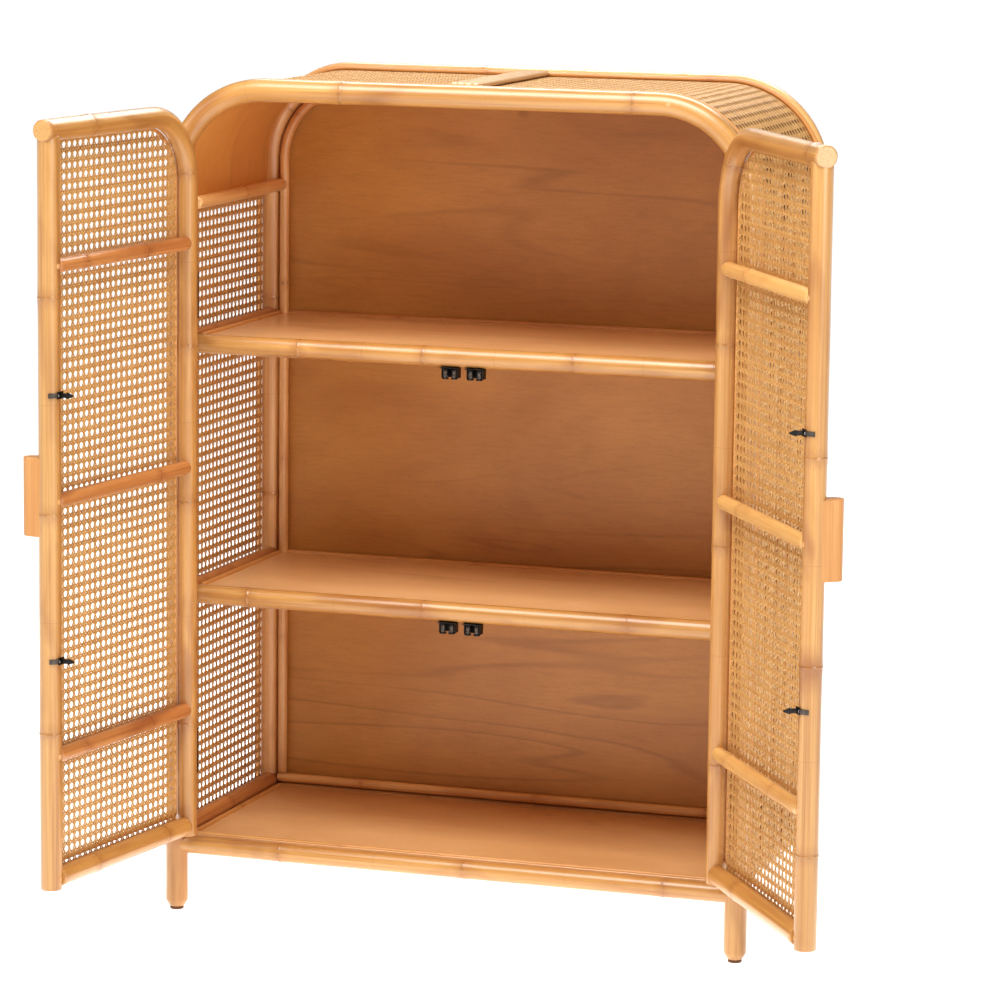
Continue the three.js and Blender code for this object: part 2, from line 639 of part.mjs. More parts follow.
const stileRecesses = HINGE_Z.map((z) => box(-RECESS_REACH, LEAF_NEAR + LEAF_THICK + CLEAR,
  -RECESS_REACH, LEAF_DEPTH + RECESS_AIR, z - HINGE_LENGTH / 2 - RECESS_AIR,
  z + HINGE_LENGTH / 2 + RECESS_AIR));
const doorPieces = {
  bent_pole: [cut(bentDoorPole(0), ...stileRecesses), rattan],
  meeting_stile: [cut(meetingPole(0), bentDoorPole(CLEAR)), rattan],
  bottom_rail: [lappedRail(DOOR_RAIL_Z, DOOR_RAIL_IN, DOOR_RAIL_R), rattan],
  cross_rail_lower: [lappedRail(CROSS_Z[0], CROSS_IN, CROSS_R), rattan],
  cross_rail_middle: [lappedRail(CROSS_Z[1], CROSS_IN, CROSS_R), rattan],
  cross_rail_upper: [lappedRail(CROSS_Z[2], CROSS_IN, CROSS_R), rattan],
  cane: [doorCane(), caneLook],
  handle: [handle(), rattan],
  strike_lower: [strike(catchTop.lower - STRIKE_DROP), darkMetal],
  strike_upper: [strike(catchTop.upper - STRIKE_DROP), darkMetal],
  hinge_leaf_lower: [doorLeaf(HINGE_Z[0]), darkMetal],
  hinge_leaf_upper: [doorLeaf(HINGE_Z[1]), darkMetal],
};

for (const [name, side, angle] of [['left', -1, OPEN_LEFT], ['right', 1, OPEN_RIGHT]]) {
  const place = (geometry) => (side < 0 ? geometry : mirrorX(geometry));
  const frame = new THREE.Group();
  frame.position.set(side * hingeX, HINGE_Y, 0);
  add(`frame_hinge_leaf_${name}_lower`, place(fixedLeaf(HINGE_Z[0])), darkMetal(), frame);
  add(`frame_hinge_leaf_${name}_upper`, place(fixedLeaf(HINGE_Z[1])), darkMetal(), frame);
  root.add(frame);
  const door = new THREE.Group();
  door.position.set(side * hingeX, HINGE_Y, 0);
  door.rotation.z = side * THREE.MathUtils.degToRad(angle);
  for (const [piece, [geometry, look]] of Object.entries(doorPieces)) {
    add(`door_${name}_${piece}`, place(geometry), look(), door);
  }
  root.add(door);
}

root.position.x = HALF_WIDTH;

export default root;
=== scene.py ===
"""Looks of the rattan shoe cabinet: lacquered poles with growth rings, woven cane, plywood, dark fittings.

Everything is in metres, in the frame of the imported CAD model. Positions come from its nodes, joints and
record, and each piece rides on the CAD body that it belongs to.
"""
import json
import math

import bpy
import numpy as np
from mathutils import Matrix, Vector


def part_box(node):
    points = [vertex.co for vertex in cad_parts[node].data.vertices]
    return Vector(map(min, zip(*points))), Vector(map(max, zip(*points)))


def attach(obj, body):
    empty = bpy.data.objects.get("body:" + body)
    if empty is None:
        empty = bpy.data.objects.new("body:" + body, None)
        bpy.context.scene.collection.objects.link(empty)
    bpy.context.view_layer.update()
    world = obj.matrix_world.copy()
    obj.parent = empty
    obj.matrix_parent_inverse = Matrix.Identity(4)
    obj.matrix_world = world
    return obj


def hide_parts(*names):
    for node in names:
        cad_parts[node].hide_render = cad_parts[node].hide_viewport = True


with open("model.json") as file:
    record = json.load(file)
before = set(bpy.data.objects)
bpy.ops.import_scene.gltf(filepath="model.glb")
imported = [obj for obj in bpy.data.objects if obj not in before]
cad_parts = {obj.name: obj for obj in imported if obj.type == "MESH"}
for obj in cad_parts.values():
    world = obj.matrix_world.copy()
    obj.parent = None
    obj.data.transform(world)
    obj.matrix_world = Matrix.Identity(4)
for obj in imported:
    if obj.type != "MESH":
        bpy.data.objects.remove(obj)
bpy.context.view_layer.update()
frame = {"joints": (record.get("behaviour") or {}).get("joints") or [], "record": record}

MM = 0.001
FACET = math.cos(math.pi / 16)  # a 16-sided CAD pole's flat against its radius
UP = Vector((0, 0, 1))
ALONG_X = Vector((1, 0, 0))
ALONG_Y = Vector((0, 1, 0))

# ---- sizes shared with the CAD part ----
ARCH_R = 14.5 * MM
ARCH_CORNER = 119 * MM
LEG_TAPER = 8 * MM
LEG_END_R = 10 * MM
RAIL_R = 11.7 * MM
BOTTOM_RAIL_BUTT = 4 * MM  # rail ends, inside the legs' axes
SIDE_RAIL_R = 11 * MM
TOP_RAIL_R = 8.5 * MM
SHELF_POLE_R = 12.6 * MM
TRIM_R = 6.5 * MM
TRIM_CORNER = 96.5 * MM
TRIM_INSET = 22.5 * MM  # trim pole's axis inside the rear arch's axis
PANEL_INSET = 14.8 * MM
BEAD_R = 4 * MM
FRONT_BEAD_R = BEAD_R - 1 * MM
BEAD_X = 363.9 * MM  # side beads, from the cabinet's middle
BOTTOM_BEAD_START, SHELF_BEAD_START = 8 * MM, 2 * MM  # side beads, behind the board's front edge
BOARD_HALF = 373 * MM
BOARD_THICK = 12 * MM
LINER_OFFSET = 1 * MM
LINER_THICK = 3 * MM
CANE_MIDDLE = 7.8 * MM  # cane's middle plane, outside the arch axis
STRIP_OFFSET = 11.4 * MM
STRIP_R = 3 * MM
DOOR_R = 13.75 * MM
DOOR_CORNER = 88 * MM
DOOR_RAIL_R = 12.5 * MM
CROSS_R = 9.25 * MM
STILE = Vector((15.35 * MM, 12 * MM))  # hinge stile from the hinge axis, door closed
MEETING_X = 352.15 * MM
STRIKE_X = 350.4 * MM
STRIKE_WIDE, STRIKE_TALL = 6.5 * MM, 4.5 * MM  # half sizes of the strike's plate
STRIKE_SCREW = 4.3 * MM
RAIL_IN = 17 * MM  # bottom rail and cross rails, into the cabinet from the hinge axis
RAIL_TIP = 7 * MM  # rounded rail ends, from the hinge stile's axis
RAIL_BUTT = 6 * MM  # square rail ends, from the meeting stile's axis
PLUG_R = 3.4 * MM
ARCH_PLUG_IN = 103 * MM  # front arch's plug, from the right leg's axis
DOOR_CANE_Y = 5.2 * MM
DOOR_CANE_EDGE = 13 * MM  # inside the axes of the door's poles
DOOR_STRIP_R = 2.4 * MM
KNUCKLE_R = 3.1 * MM
HINGE_LENGTH = 60 * MM
LEAF_DEPTH = 21 * MM
LEAF_NEAR, LEAF_FAR = 0.6 * MM, 2.1 * MM  # leaf's faces, sideways from the hinge axis
HANDLE_R = 12 * MM
HANDLE_REACH = 22 * MM  # from the meeting stile's face
HANDLE_SADDLE = 4 * MM
CATCH_X, CATCH_HALF = 17 * MM, 11 * MM  # a catch's middle and half width, from the cabinet's middle
ROLLER_X, ROLLER_R = 5.9 * MM, 3.1 * MM


def middle(node):
    low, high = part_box(node)
    return (Vector(low) + Vector(high)) / 2


def mount(name):
    for entry in frame["record"]["mounts"]:
        if entry["name"] == name:
            return entry
    raise KeyError(name)


def as_drawn(x, y, z):
    return x, y, z


# ---- meshes ----
class Build:
    """Collects shapes with their grain coordinates and makes one object of them.

    grain holds the straightened coordinates of each point, with the first along the fibres.
    look holds the distance to the nearest growth ring, a tone from -1 to 1, and 1 on cut ends.
    """

    def __init__(self, matrix=None):
        self.matrix = matrix or Matrix.Identity(4)
        self.count = 0
        self.verts, self.grain, self.look = [], [], []
        self.faces = {3: [], 4: []}
        self.face_materials = {3: [], 4: []}
        self.face_smooth = {3: [], 4: []}

    def add(self, verts, faces, grain=None, look=None, material=0, smooth=True):
        verts = np.asarray(verts, float).reshape(-1, 3)
        grain = verts if grain is None else np.asarray(grain, float).reshape(-1, 3)
        if look is None:
            look = np.tile([1.0, 0.0, 0.0], (len(verts), 1))
        self.verts.append(verts)
        self.grain.append(grain)
        self.look.append(np.asarray(look, float).reshape(-1, 3))
        for group in faces:
            group = np.asarray(group, int)
            if group.size == 0:
                continue
            sides = group.shape[1]
            self.faces[sides].append(group + self.count)
            self.face_materials[sides].append(np.full(len(group), material))
            self.face_smooth[sides].append(np.full(len(group), smooth))
        self.count += len(verts)

    def finish(self, name, body, materials, replaces=(), slot=None):
        verts = np.concatenate(self.verts)
        matrix = np.array(self.matrix)
        verts = verts @ matrix[:3, :3].T + matrix[:3, 3]
        flip = np.linalg.det(matrix[:3, :3]) < 0
        loops, starts, indices, smooth, at = [], [], [], [], 0
        for sides in (4, 3):
            if not self.faces[sides]:
                continue
            group = np.concatenate(self.faces[sides])
            if flip:
                group = group[:, ::-1]
            loops.append(group.ravel())
            starts.append(at + sides * np.arange(len(group)))
            at += group.size
            indices.append(np.concatenate(self.face_materials[sides]))
            smooth.append(np.concatenate(self.face_smooth[sides]))
        mesh = bpy.data.meshes.new(name)
        mesh.vertices.add(len(verts))
        mesh.vertices.foreach_set("co", verts.ravel())
        mesh.loops.add(at)
        mesh.loops.foreach_set("vertex_index", np.concatenate(loops).astype(np.int32))
        mesh.polygons.add(sum(len(group) for group in starts))
        mesh.polygons.foreach_set("loop_start", np.concatenate(starts).astype(np.int32))
        mesh.update(calc_edges=True)
        mesh.polygons.foreach_set("material_index", np.concatenate(indices).astype(np.int32))
        mesh.polygons.foreach_set("use_smooth", np.concatenate(smooth).astype(bool))
        for key, values in (("grain", self.grain), ("look", self.look)):
            attribute = mesh.attributes.new(key, "FLOAT_VECTOR", "POINT")
            attribute.data.foreach_set("vector", np.concatenate(values).ravel())
        for material in materials:
            mesh.materials.append(material)
        obj = bpy.data.objects.new(name, mesh)
        bpy.context.scene.collection.objects.link(obj)
        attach(obj, body)
        if replaces:
            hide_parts(*replaces)


def grid_faces(rows, columns, wrap):
    """Quads over a rows by columns grid of points, closed round each row if wrap."""
    r, c = np.meshgrid(np.arange(rows - 1), np.arange(columns if wrap else columns - 1), indexing="ij")
    after = (c + 1) % columns
    near, far = r * columns, (r + 1) * columns
    quads = np.stack([near + c, near + after, far + after, far + c], -1)
    return quads.reshape(-1, 4)


def fan(sides, flip):
    """Triangles from a last centre point to a ring of sides points."""
    i = np.arange(sides)
    after = (i + 1) % sides
    hub = np.full(sides, sides)
    return np.stack([after, i, hub] if flip else [i, after, hub], -1)


def arc(centre, radius, start, end, steps, to_point):
    return [to_point(centre[0] + radius * math.cos(a), centre[1] + radius * math.sin(a))
            for a in np.linspace(start, end, steps)]


STATION_STEP = 9 * MM
RING_STATIONS = (-14, -8, -5, -3, -1.8, -1, -0.4, 0, 0.4, 1, 1.8, 3, 5, 8, 14)  # mm from a growth ring
RING_MARGIN = 30 * MM


def ring_places(length, rng, spacing):
    places, at = [], rng.uniform(0.3, 1.0) * spacing[0]
    while at < length - RING_MARGIN:
        if at > RING_MARGIN:
            places.append(at)
        at += rng.uniform(*spacing)
    return places


def end_rings(kind, radius, taper=None):
    """Offsets from a pole's end with the share of the radius there, from the end inwards."""
    if kind == "round":
        angles = np.linspace(0.16, math.pi / 2, 8)
        return [(radius * (1 - math.sin(a)), math.cos(a)) for a in angles[::-1]]
    if kind == "taper":
        length, share = taper
        return [(0.0, share - 0.06), (0.8 * MM, share), (length, 0.985), (length + 1 * MM, 1.0)]
    chamfer = 1.1 * MM
    return [(0.0, 1 - 1.3 * chamfer / radius), (0.35 * chamfer, 1 - 0.5 * chamfer / radius), (chamfer, 1.0)]


def tube(build, points, radius, seed, across, ends=("flat", "flat"), sides=28, spacing=(0.17, 0.31),
         taper=None, squash=1.0):
    """A pole along points, with growth rings, slightly uneven thickness and finished ends.

    across is a direction square to the whole path, which keeps the section from twisting.
    """
    rng = np.random.default_rng(seed)
    points = np.array([list(p) for p in points], float)
    leg = np.linalg.norm(np.diff(points, axis=0), axis=1)
    distance = np.concatenate([[0], np.cumsum(leg)])
    length = distance[-1]
    places = ring_places(length, rng, spacing)
    stations = list(np.linspace(0, length, max(2, int(length / STATION_STEP) + 1)))
    for place in places:
        stations += [place + d * MM for d in RING_STATIONS]
    caps = [end_rings(kind, radius, taper) for kind in ends]
    first, last = max(row[0] for row in caps[0]), length - max(row[0] for row in caps[1])
    stations = sorted(s for s in stations if first + 0.5 * MM < s < last - 0.5 * MM)
    finish = [(length - s, share) for s, share in sorted(caps[1], reverse=True)]
    rows = sorted(caps[0]) + [(s, 1.0) for s in stations] + finish
    s = np.array([row[0] for row in rows])
    share = np.array([row[1] for row in rows])

    def at(values):
        return np.stack([np.interp(values, distance, points[:, k]) for k in range(3)], -1)

    centre = at(s)
    reach = 3 * MM
    tangent = at(np.minimum(s + reach, length)) - at(np.maximum(s - reach, 0))
    tangent /= np.linalg.norm(tangent, axis=1)[:, None]
    across = np.array(list(across), float)
    across = across / np.linalg.norm(across)
    other = np.cross(tangent, across)
    other /= np.linalg.norm(other, axis=1)[:, None]
    waves = rng.uniform(0, 2 * math.pi, 6)
    thick = radius * (1 + 0.006 * np.sin(s * 21 + waves[0]) + 0.004 * np.sin(s * 47 + waves[1]))
    nearest = np.full(len(s), 1.0)
    tone = np.zeros(len(s))
    edges = [-1.0] + list(places) + [length + 1.0]
    tones = rng.uniform(-1, 1, len(edges))
    for k in range(len(edges) - 1):
        inside = (s >= edges[k]) & (s < edges[k + 1])
        tone[inside] = tones[k]
    for place in places:
        d = s - place
        nearest = np.where(np.abs(d) < np.abs(nearest), d, nearest)
        swell = 0.45 * np.exp(-((d / (9 * MM)) ** 2)) + 0.3 * np.exp(-((d / (0.9 * MM)) ** 2))
        groove = 0.16 * np.exp(-(((d - 2.4 * MM) / (1.1 * MM)) ** 2))
        thick += (swell - groove) * MM * min(1.0, radius / (9 * MM))
    thick *= share
    angle = np.arange(sides) * 2 * math.pi / sides
    oval = 1 + 0.01 * np.cos(2 * angle[None, :] + waves[3] + 2.2 * s[:, None])
    r = thick[:, None] * oval
    ca, sa = np.cos(angle)[None, :], np.sin(angle)[None, :] * squash
    verts = (centre[:, None, :] + (r * ca)[..., None] * across
             + (r * sa)[..., None] * other[:, None, :])
    shift = rng.uniform(0, 40)
    grain = np.stack([np.broadcast_to(s[:, None] + shift, r.shape), r * ca + shift, r * sa], -1)
    look = np.stack([np.broadcast_to(nearest[:, None], r.shape), np.broadcast_to(tone[:, None], r.shape),
                     np.zeros_like(r)], -1)
    build.add(verts, [grid_faces(len(s), sides, True)], grain, look)
    for row, flip in ((0, True), (len(s) - 1, False)):
        cap = np.concatenate([verts[row], verts[row].mean(axis=0)[None, :]])
        cap_grain = np.concatenate([grain[row], grain[row].mean(axis=0)[None, :]])
        cap_look = np.concatenate([look[row], look[row][:1]])
        cap_look[:, 2] = 1.0
        kind = ends[0] if row == 0 else ends[1]
        build.add(cap, [fan(sides, not flip)], cap_grain, cap_look, smooth=kind == "round")


def pole(node_name, suffix, body, look, points, radius, seed, across, matrix=None, slot="rattan_pole",
         **finish):
    """One pole that stands for one CAD node."""
    made = Build(matrix)
    tube(made, points, radius, seed, across, **finish)
    made.finish(f"{node_name}_{suffix}", body, [look], [node_name], slot)


def box(build, low, high, chamfer, material=0, shift=0.0):
    """A box with chamfered edges, and its fibres along X."""
    low, high = np.array(list(low), float), np.array(list(high), float)
    corners, index = [], {}
    for x in (0, 1):
        for y in (0, 1):
            for z in (0, 1):
                ends = np.array([x, y, z])
                corner = np.where(ends == 1, high, low)
                inward = np.where(ends == 1, -1, 1) * chamfer
                for axis in range(3):
                    point = corner + inward
                    point[axis] = corner[axis]
                    index[(x, y, z, axis)] = len(corners)
                    corners.append(point)
    faces = []
    for axis in range(3):
        for side in (0, 1):
            a, b = [k for k in range(3) if k != axis]
            ring = []
            for u, v in ((0, 0), (1, 0), (1, 1), (0, 1)):
                key = [0, 0, 0]
                key[axis], key[a], key[b] = side, u, v
                ring.append(index[(*key, axis)])
            faces.append(ring)
    for axis in range(3):
        a, b = [k for k in range(3) if k != axis]
        for u in (0, 1):
            for v in (0, 1):
                ring = []
                for end, order in ((0, (a, b)), (1, (b, a))):
                    key = [0, 0, 0]
                    key[axis], key[a], key[b] = end, u, v
                    ring += [index[(*key, order[0])], index[(*key, order[1])]]
                faces.append(ring)
    tris = []
    for x in (0, 1):
        for y in (0, 1):
            for z in (0, 1):
                tris.append([index[(x, y, z, axis)] for axis in range(3)])
    corners = np.array(corners)
    heart = (low + high) / 2

    def outward(face):
        points = corners[face]
        normal = np.cross(points[1] - points[0], points[2] - points[0])
        return face if normal @ (points.mean(axis=0) - heart) > 0 else face[::-1]

    quads = np.array([outward(face) for face in faces])
    tris = np.array([outward(face) for face in tris])
    build.add(corners, [quads, tris], corners + shift, None, material, smooth=False)


def lathe(build, profile, centre, axis, sides, material=0):
    """A turned piece. profile is (radius, height) from one end of the axis to the other."""
    axis = Vector(axis).normalized()
    side = axis.orthogonal().normalized()
    other = axis.cross(side)
    rows = []
    for radius, height in profile:
        for k in range(sides):
            a = 2 * math.pi * k / sides
            out = (side * math.cos(a) + other * math.sin(a)) * max(radius, 1e-6)
            rows.append(Vector(centre) + axis * height + out)
    verts = np.array([list(p) for p in rows])
    build.add(verts, [grid_faces(len(profile), sides, True)], None, None, material)


def prism(build, outline, low, high, to_point, chamfer, material=0, grain=None):
    """An outline given depth from low to high along the third direction, with chamfered ends."""
    outline = np.array(outline, float)
    middle_point = outline.mean(axis=0)
    size = np.abs(outline - middle_point).max()
    small = middle_point + (outline - middle_point) * (1 - chamfer / size)
    rows = [(small, low), (outline, low + chamfer), (outline, high - chamfer), (small, high)]
    verts = np.array([list(to_point(p[0], p[1], depth)) for ring, depth in rows for p in ring])
    count = len(outline)
    hub = np.array([list(to_point(middle_point[0], middle_point[1], depth)) for depth in (low, high)])
    side = grid_faces(4, count, True)
    i = np.arange(count)
    after = (i + 1) % count
    bottom = np.stack([after, i, np.full(count, 4 * count)], -1)
    top = np.stack([3 * count + i, 3 * count + after, np.full(count, 4 * count + 1)], -1)
    verts = np.concatenate([verts, hub])
    a, b, c = verts[side[0][0]], verts[side[0][1]], verts[side[0][2]]
    outward = np.cross(b - a, c - a) @ (a - np.array(list(to_point(middle_point[0], middle_point[1], low))))
    if outward < 0:
        side, bottom, top = side[:, ::-1], bottom[:, ::-1], top[:, ::-1]
    values = verts if grain is None else grain(verts)
    build.add(verts, [side, bottom, top], values, None, material, smooth=False)


def screw(build, centre, normal, radius, material):
    profile = [(radius, -0.3 * MM), (radius, 0.15 * MM), (radius * 0.8, 0.6 * MM), (radius * 0.4, 0.85 * MM),
               (0.0, 0.9 * MM)]
    lathe(build, profile, centre, normal, 16, material)


# ---- procedural materials ----
def nodes_of(name):
    material = bpy.data.materials.new(name)
    material.use_nodes = True
    tree = material.node_tree
    return material, tree, tree.nodes["Principled BSDF"]


def node(tree, kind, **values):
    made = tree.nodes.new(kind)
    for key, value in values.items():
        setattr(made, key, value)
    return made


def colour(r, g, b):
    """Linear colour of an 8-bit sRGB triple."""
    out = []
    for value in (r, g, b):
        value /= 255
        out.append(value / 12.92 if value <= 0.04045 else ((value + 0.055) / 1.055) ** 2.4)
    return (*out, 1.0)


def attribute(tree, name):
    return node(tree, "ShaderNodeAttribute", attribute_name=name).outputs["Vector"]


def scaled(tree, vector, scale):
    mapping = node(tree, "ShaderNodeMapping")
    mapping.inputs["Scale"].default_value = scale
    tree.links.new(vector, mapping.inputs["Vector"])
    return mapping.outputs["Vector"]


def noise(tree, vector, scale, detail, roughness=0.5, distortion=0.0):
    made = node(tree, "ShaderNodeTexNoise")
    made.inputs["Scale"].default_value = 1.0
    made.inputs["Detail"].default_value = detail
    made.inputs["Roughness"].default_value = roughness
    made.inputs["Distortion"].default_value = distortion
    tree.links.new(scaled(tree, vector, scale), made.inputs["Vector"])
    return made.outputs["Fac"]


def ramp(tree, value, stops, interpolation="LINEAR"):
    made = node(tree, "ShaderNodeValToRGB")
    made.color_ramp.interpolation = interpolation
    elements = made.color_ramp.elements
    elements[0].position, elements[0].color = stops[0]
    elements[1].position, elements[1].color = stops[-1]
    for position, shade in stops[1:-1]:
        elements.new(position).color = shade
    tree.links.new(value, made.inputs["Fac"])
    return made.outputs["Color"]


def mix(tree, amount, first, second):
    made = node(tree, "ShaderNodeMix", data_type="RGBA")
    for socket, value in (("Factor", amount), ("A", first), ("B", second)):
        kind = "VALUE" if socket == "Factor" else "RGBA"
        target = [i for i in made.inputs if i.name == socket and i.type == kind][0]
        if hasattr(value, "links"):
            tree.links.new(value, target)
        else:
            target.default_value = value
    return [o for o in made.outputs if o.type == "RGBA"][0]


def maths(tree, operation, first, second=None):
    made = node(tree, "ShaderNodeMath", operation=operation)
    for k, value in enumerate((first, second)):
        if value is None:
            continue
        if hasattr(value, "links"):
            tree.links.new(value, made.inputs[k])
        else:
            made.inputs[k].default_value = value
    return made.outputs["Value"]


def split(tree, vector):
    made = node(tree, "ShaderNodeSeparateXYZ")
    tree.links.new(vector, made.inputs["Vector"])
    return made.outputs["X"], made.outputs["Y"], made.outputs["Z"]


def remap(tree, value, low, high, to_low, to_high):
    made = node(tree, "ShaderNodeMapRange")
    for key, number in (("From Min", low), ("From Max", high), ("To Min", to_low), ("To Max", to_high)):
        made.inputs[key].default_value = number
    tree.links.new(value, made.inputs["Value"])
    return made.outputs["Result"]


def bump(tree, bsdf, height, strength, distance):
    made = node(tree, "ShaderNodeBump")
    made.inputs["Strength"].default_value = strength
    made.inputs["Distance"].default_value = distance
    tree.links.new(height, made.inputs["Height"])
    tree.links.new(made.outputs["Normal"], bsdf.inputs["Normal"])


def lacquer(bsdf, weight):
    bsdf.inputs["Coat Weight"].default_value = weight
    bsdf.inputs["Coat Roughness"].default_value = 0.3


RING_STRENGTH = 0.4


def rattan(name, light, dark, blush, ring, gloss=0.34, coat=1.0, blotch=0.8):
    """Lacquered rattan: fibres along the pole, soft blotches, faint flecked growth rings, pale cut ends."""
    material, tree, bsdf = nodes_of(name)
    grain, look = attribute(tree, "grain"), attribute(tree, "look")
    near, tone, cut = split(tree, look)
    fibres = noise(tree, grain, (5, 420, 420), 5, 0.6)
    threads = noise(tree, grain, (2.5, 170, 170), 2, 0.5)
    broad = noise(tree, grain, (4, 40, 40), 3, 0.55)
    patches = noise(tree, grain, (7, 22, 22), 2, 0.5, 0.6)
    base = ramp(tree, fibres, [(0.3, dark), (0.68, light)])
    base = mix(tree, remap(tree, threads, 0.5, 0.7, 0.0, 0.5), base, blush)
    base = mix(tree, remap(tree, broad, 0.42, 0.72, 0.0, 0.75), base, dark)
    base = mix(tree, remap(tree, patches, 0.5, 0.74, 0.0, blotch), base, blush)
    level = remap(tree, tone, -1, 1, 0.94, 1.04)
    tinted = node(tree, "ShaderNodeHueSaturation")
    tree.links.new(base, tinted.inputs["Color"])
    tree.links.new(level, tinted.inputs["Value"])
    base = tinted.outputs["Color"]
    gap = maths(tree, "ABSOLUTE", near)
    flecks = noise(tree, grain, (60, 210, 210), 3, 0.6)
    gap = maths(tree, "ADD", gap, remap(tree, flecks, 0.3, 0.7, -0.004, 0.004))
    halo = remap(tree, gap, 0.001, 0.016, RING_STRENGTH, 0.0)
    spots = remap(tree, flecks, 0.5, 0.62, 0.0, 1.0)
    line = maths(tree, "MULTIPLY", remap(tree, gap, 0.0, 0.006, RING_STRENGTH * 1.6, 0.0), spots)
    base = mix(tree, halo, base, blush)
    base = mix(tree, line, base, ring)
    pores = node(tree, "ShaderNodeTexVoronoi")
    pores.inputs["Scale"].default_value = 1.0
    tree.links.new(scaled(tree, grain, (900, 900, 900)), pores.inputs["Vector"])
    end_grain = ramp(tree, pores.outputs["Distance"], [(0.12, ring), (0.42, light)])
    base = mix(tree, maths(tree, "MULTIPLY", cut, 0.8), base, end_grain)
    tree.links.new(base, bsdf.inputs["Base Color"])
    tree.links.new(remap(tree, broad, 0.2, 0.8, gloss - 0.05, gloss + 0.12), bsdf.inputs["Roughness"])
    lacquer(bsdf, coat)
    bump(tree, bsdf, fibres, 0.2, 0.0003)
    return material


def plywood(name, light, dark, ring, gloss=0.4, coat=0.25, knots=0.0):
    """Lacquered veneer: a faint cathedral figure along the grain, fine pores and a few small knots."""
    material, tree, bsdf = nodes_of(name)
    grain = attribute(tree, "grain")
    figure = noise(tree, grain, (0.9, 9, 9), 2, 0.45, 0.35)
    bands = maths(tree, "FRACT", maths(tree, "MULTIPLY", figure, 9.0))
    bands = ramp(tree, bands, [(0.0, (0, 0, 0, 1)), (0.72, (0.15, 0.15, 0.15, 1)), (0.86, (1, 1, 1, 1)),
                               (1.0, (0, 0, 0, 1))], "EASE")
    patch = noise(tree, grain, (1.7, 4, 4), 2, 0.5)
    cloudy = noise(tree, grain, (3.2, 6, 6), 4, 0.6, 0.3)
    pores = noise(tree, grain, (130, 900, 900), 3, 0.65)
    fine = noise(tree, grain, (34, 300, 300), 3, 0.6)
    base = mix(tree, remap(tree, cloudy, 0.3, 0.72, 0.0, 1.0), light, dark)
    shown = maths(tree, "MULTIPLY", bands, remap(tree, patch, 0.45, 0.65, 0.0, 0.3))
    base = mix(tree, shown, base, ring)
    base = mix(tree, remap(tree, fine, 0.45, 0.8, 0.0, 0.16), base, ring)
    base = mix(tree, remap(tree, pores, 0.55, 0.8, 0.0, 0.34), base, ring)
    if knots:
        cells = node(tree, "ShaderNodeTexVoronoi")
        cells.inputs["Scale"].default_value = 1.0
        tree.links.new(scaled(tree, grain, (3.2, 4.6, 4.6)), cells.inputs["Vector"])
        spot = remap(tree, cells.outputs["Distance"], 0.008, 0.045, knots, 0.0)
        base = mix(tree, spot, base, ring)
    tree.links.new(base, bsdf.inputs["Base Color"])
    tree.links.new(remap(tree, pores, 0.2, 0.8, gloss - 0.04, gloss + 0.1), bsdf.inputs["Roughness"])
    lacquer(bsdf, coat)
    bump(tree, bsdf, pores, 0.2, 0.0003)
    return material


def cane_material(name, light, dark):
    """Split cane: each strand has its own tone, with fine lines along it."""
    material, tree, bsdf = nodes_of(name)
    grain, look = attribute(tree, "grain"), attribute(tree, "look")
    tone = split(tree, look)[1]
    lines = noise(tree, grain, (25, 1500, 1500), 3, 0.6)
    stain = noise(tree, grain, (14, 14, 14), 2)
    base = mix(tree, remap(tree, tone, -1, 1, 0.0, 0.8), light, dark)
    base = mix(tree, remap(tree, stain, 0.45, 0.8, 0.0, 0.5), base, dark)
    base = mix(tree, remap(tree, lines, 0.45, 0.8, 0.0, 0.35), base, dark)
    tree.links.new(base, bsdf.inputs["Base Color"])
    tree.links.new(remap(tree, lines, 0.2, 0.8, 0.42, 0.6), bsdf.inputs["Roughness"])
    lacquer(bsdf, 0.5)
    return material


def fitting(name, shade, worn, metallic, rough):
    """Painted or plated fitting with fine mottling and scattered worn streaks."""
    material, tree, bsdf = nodes_of(name)
    where = node(tree, "ShaderNodeTexCoord").outputs["Object"]
    mottle = noise(tree, where, (260, 260, 260), 4, 0.6)
    scratch = noise(tree, where, (900, 60, 900), 2, 0.5)
    base = mix(tree, remap(tree, mottle, 0.45, 0.75, 0.0, 0.6), shade, worn)
    base = mix(tree, remap(tree, scratch, 0.62, 0.8, 0.0, 0.5), base, worn)
    tree.links.new(base, bsdf.inputs["Base Color"])
    tree.links.new(remap(tree, mottle, 0.2, 0.8, rough - 0.08, rough + 0.12), bsdf.inputs["Roughness"])
    bsdf.inputs["Metallic"].default_value = metallic
    bump(tree, bsdf, mottle, 0.15, 0.0002)
    return material


LIGHT_POLE = colour(214, 164, 98)
DARK_POLE = colour(188, 132, 68)
BLUSH_POLE = colour(156, 98, 46)
RING_POLE = colour(104, 54, 24)
pole_look = rattan("rattan_pole", LIGHT_POLE, DARK_POLE, BLUSH_POLE, RING_POLE)
rail_look = rattan("rattan_rail", colour(216, 156, 96), colour(186, 118, 64), colour(150, 84, 44), RING_POLE,
                   gloss=0.36, blotch=0.85)
pale_rail_look = rattan("rattan_rail_pale", colour(240, 196, 128), colour(222, 170, 102),
                        colour(190, 128, 72), RING_POLE, gloss=0.36, blotch=0.5)
trim_look = rattan("rattan_trim", colour(244, 198, 136), colour(226, 170, 106), colour(200, 136, 78),
                   RING_POLE)
strip_look = rattan("rattan_strip", colour(222, 168, 106), colour(200, 138, 76), colour(178, 110, 58),
                    RING_POLE, gloss=0.4, coat=0.35, blotch=0.3)
plug_look = rattan("wood_plug", colour(232, 184, 130), colour(216, 158, 102), colour(200, 136, 84),
                   colour(160, 104, 60), gloss=0.5, coat=0.2)
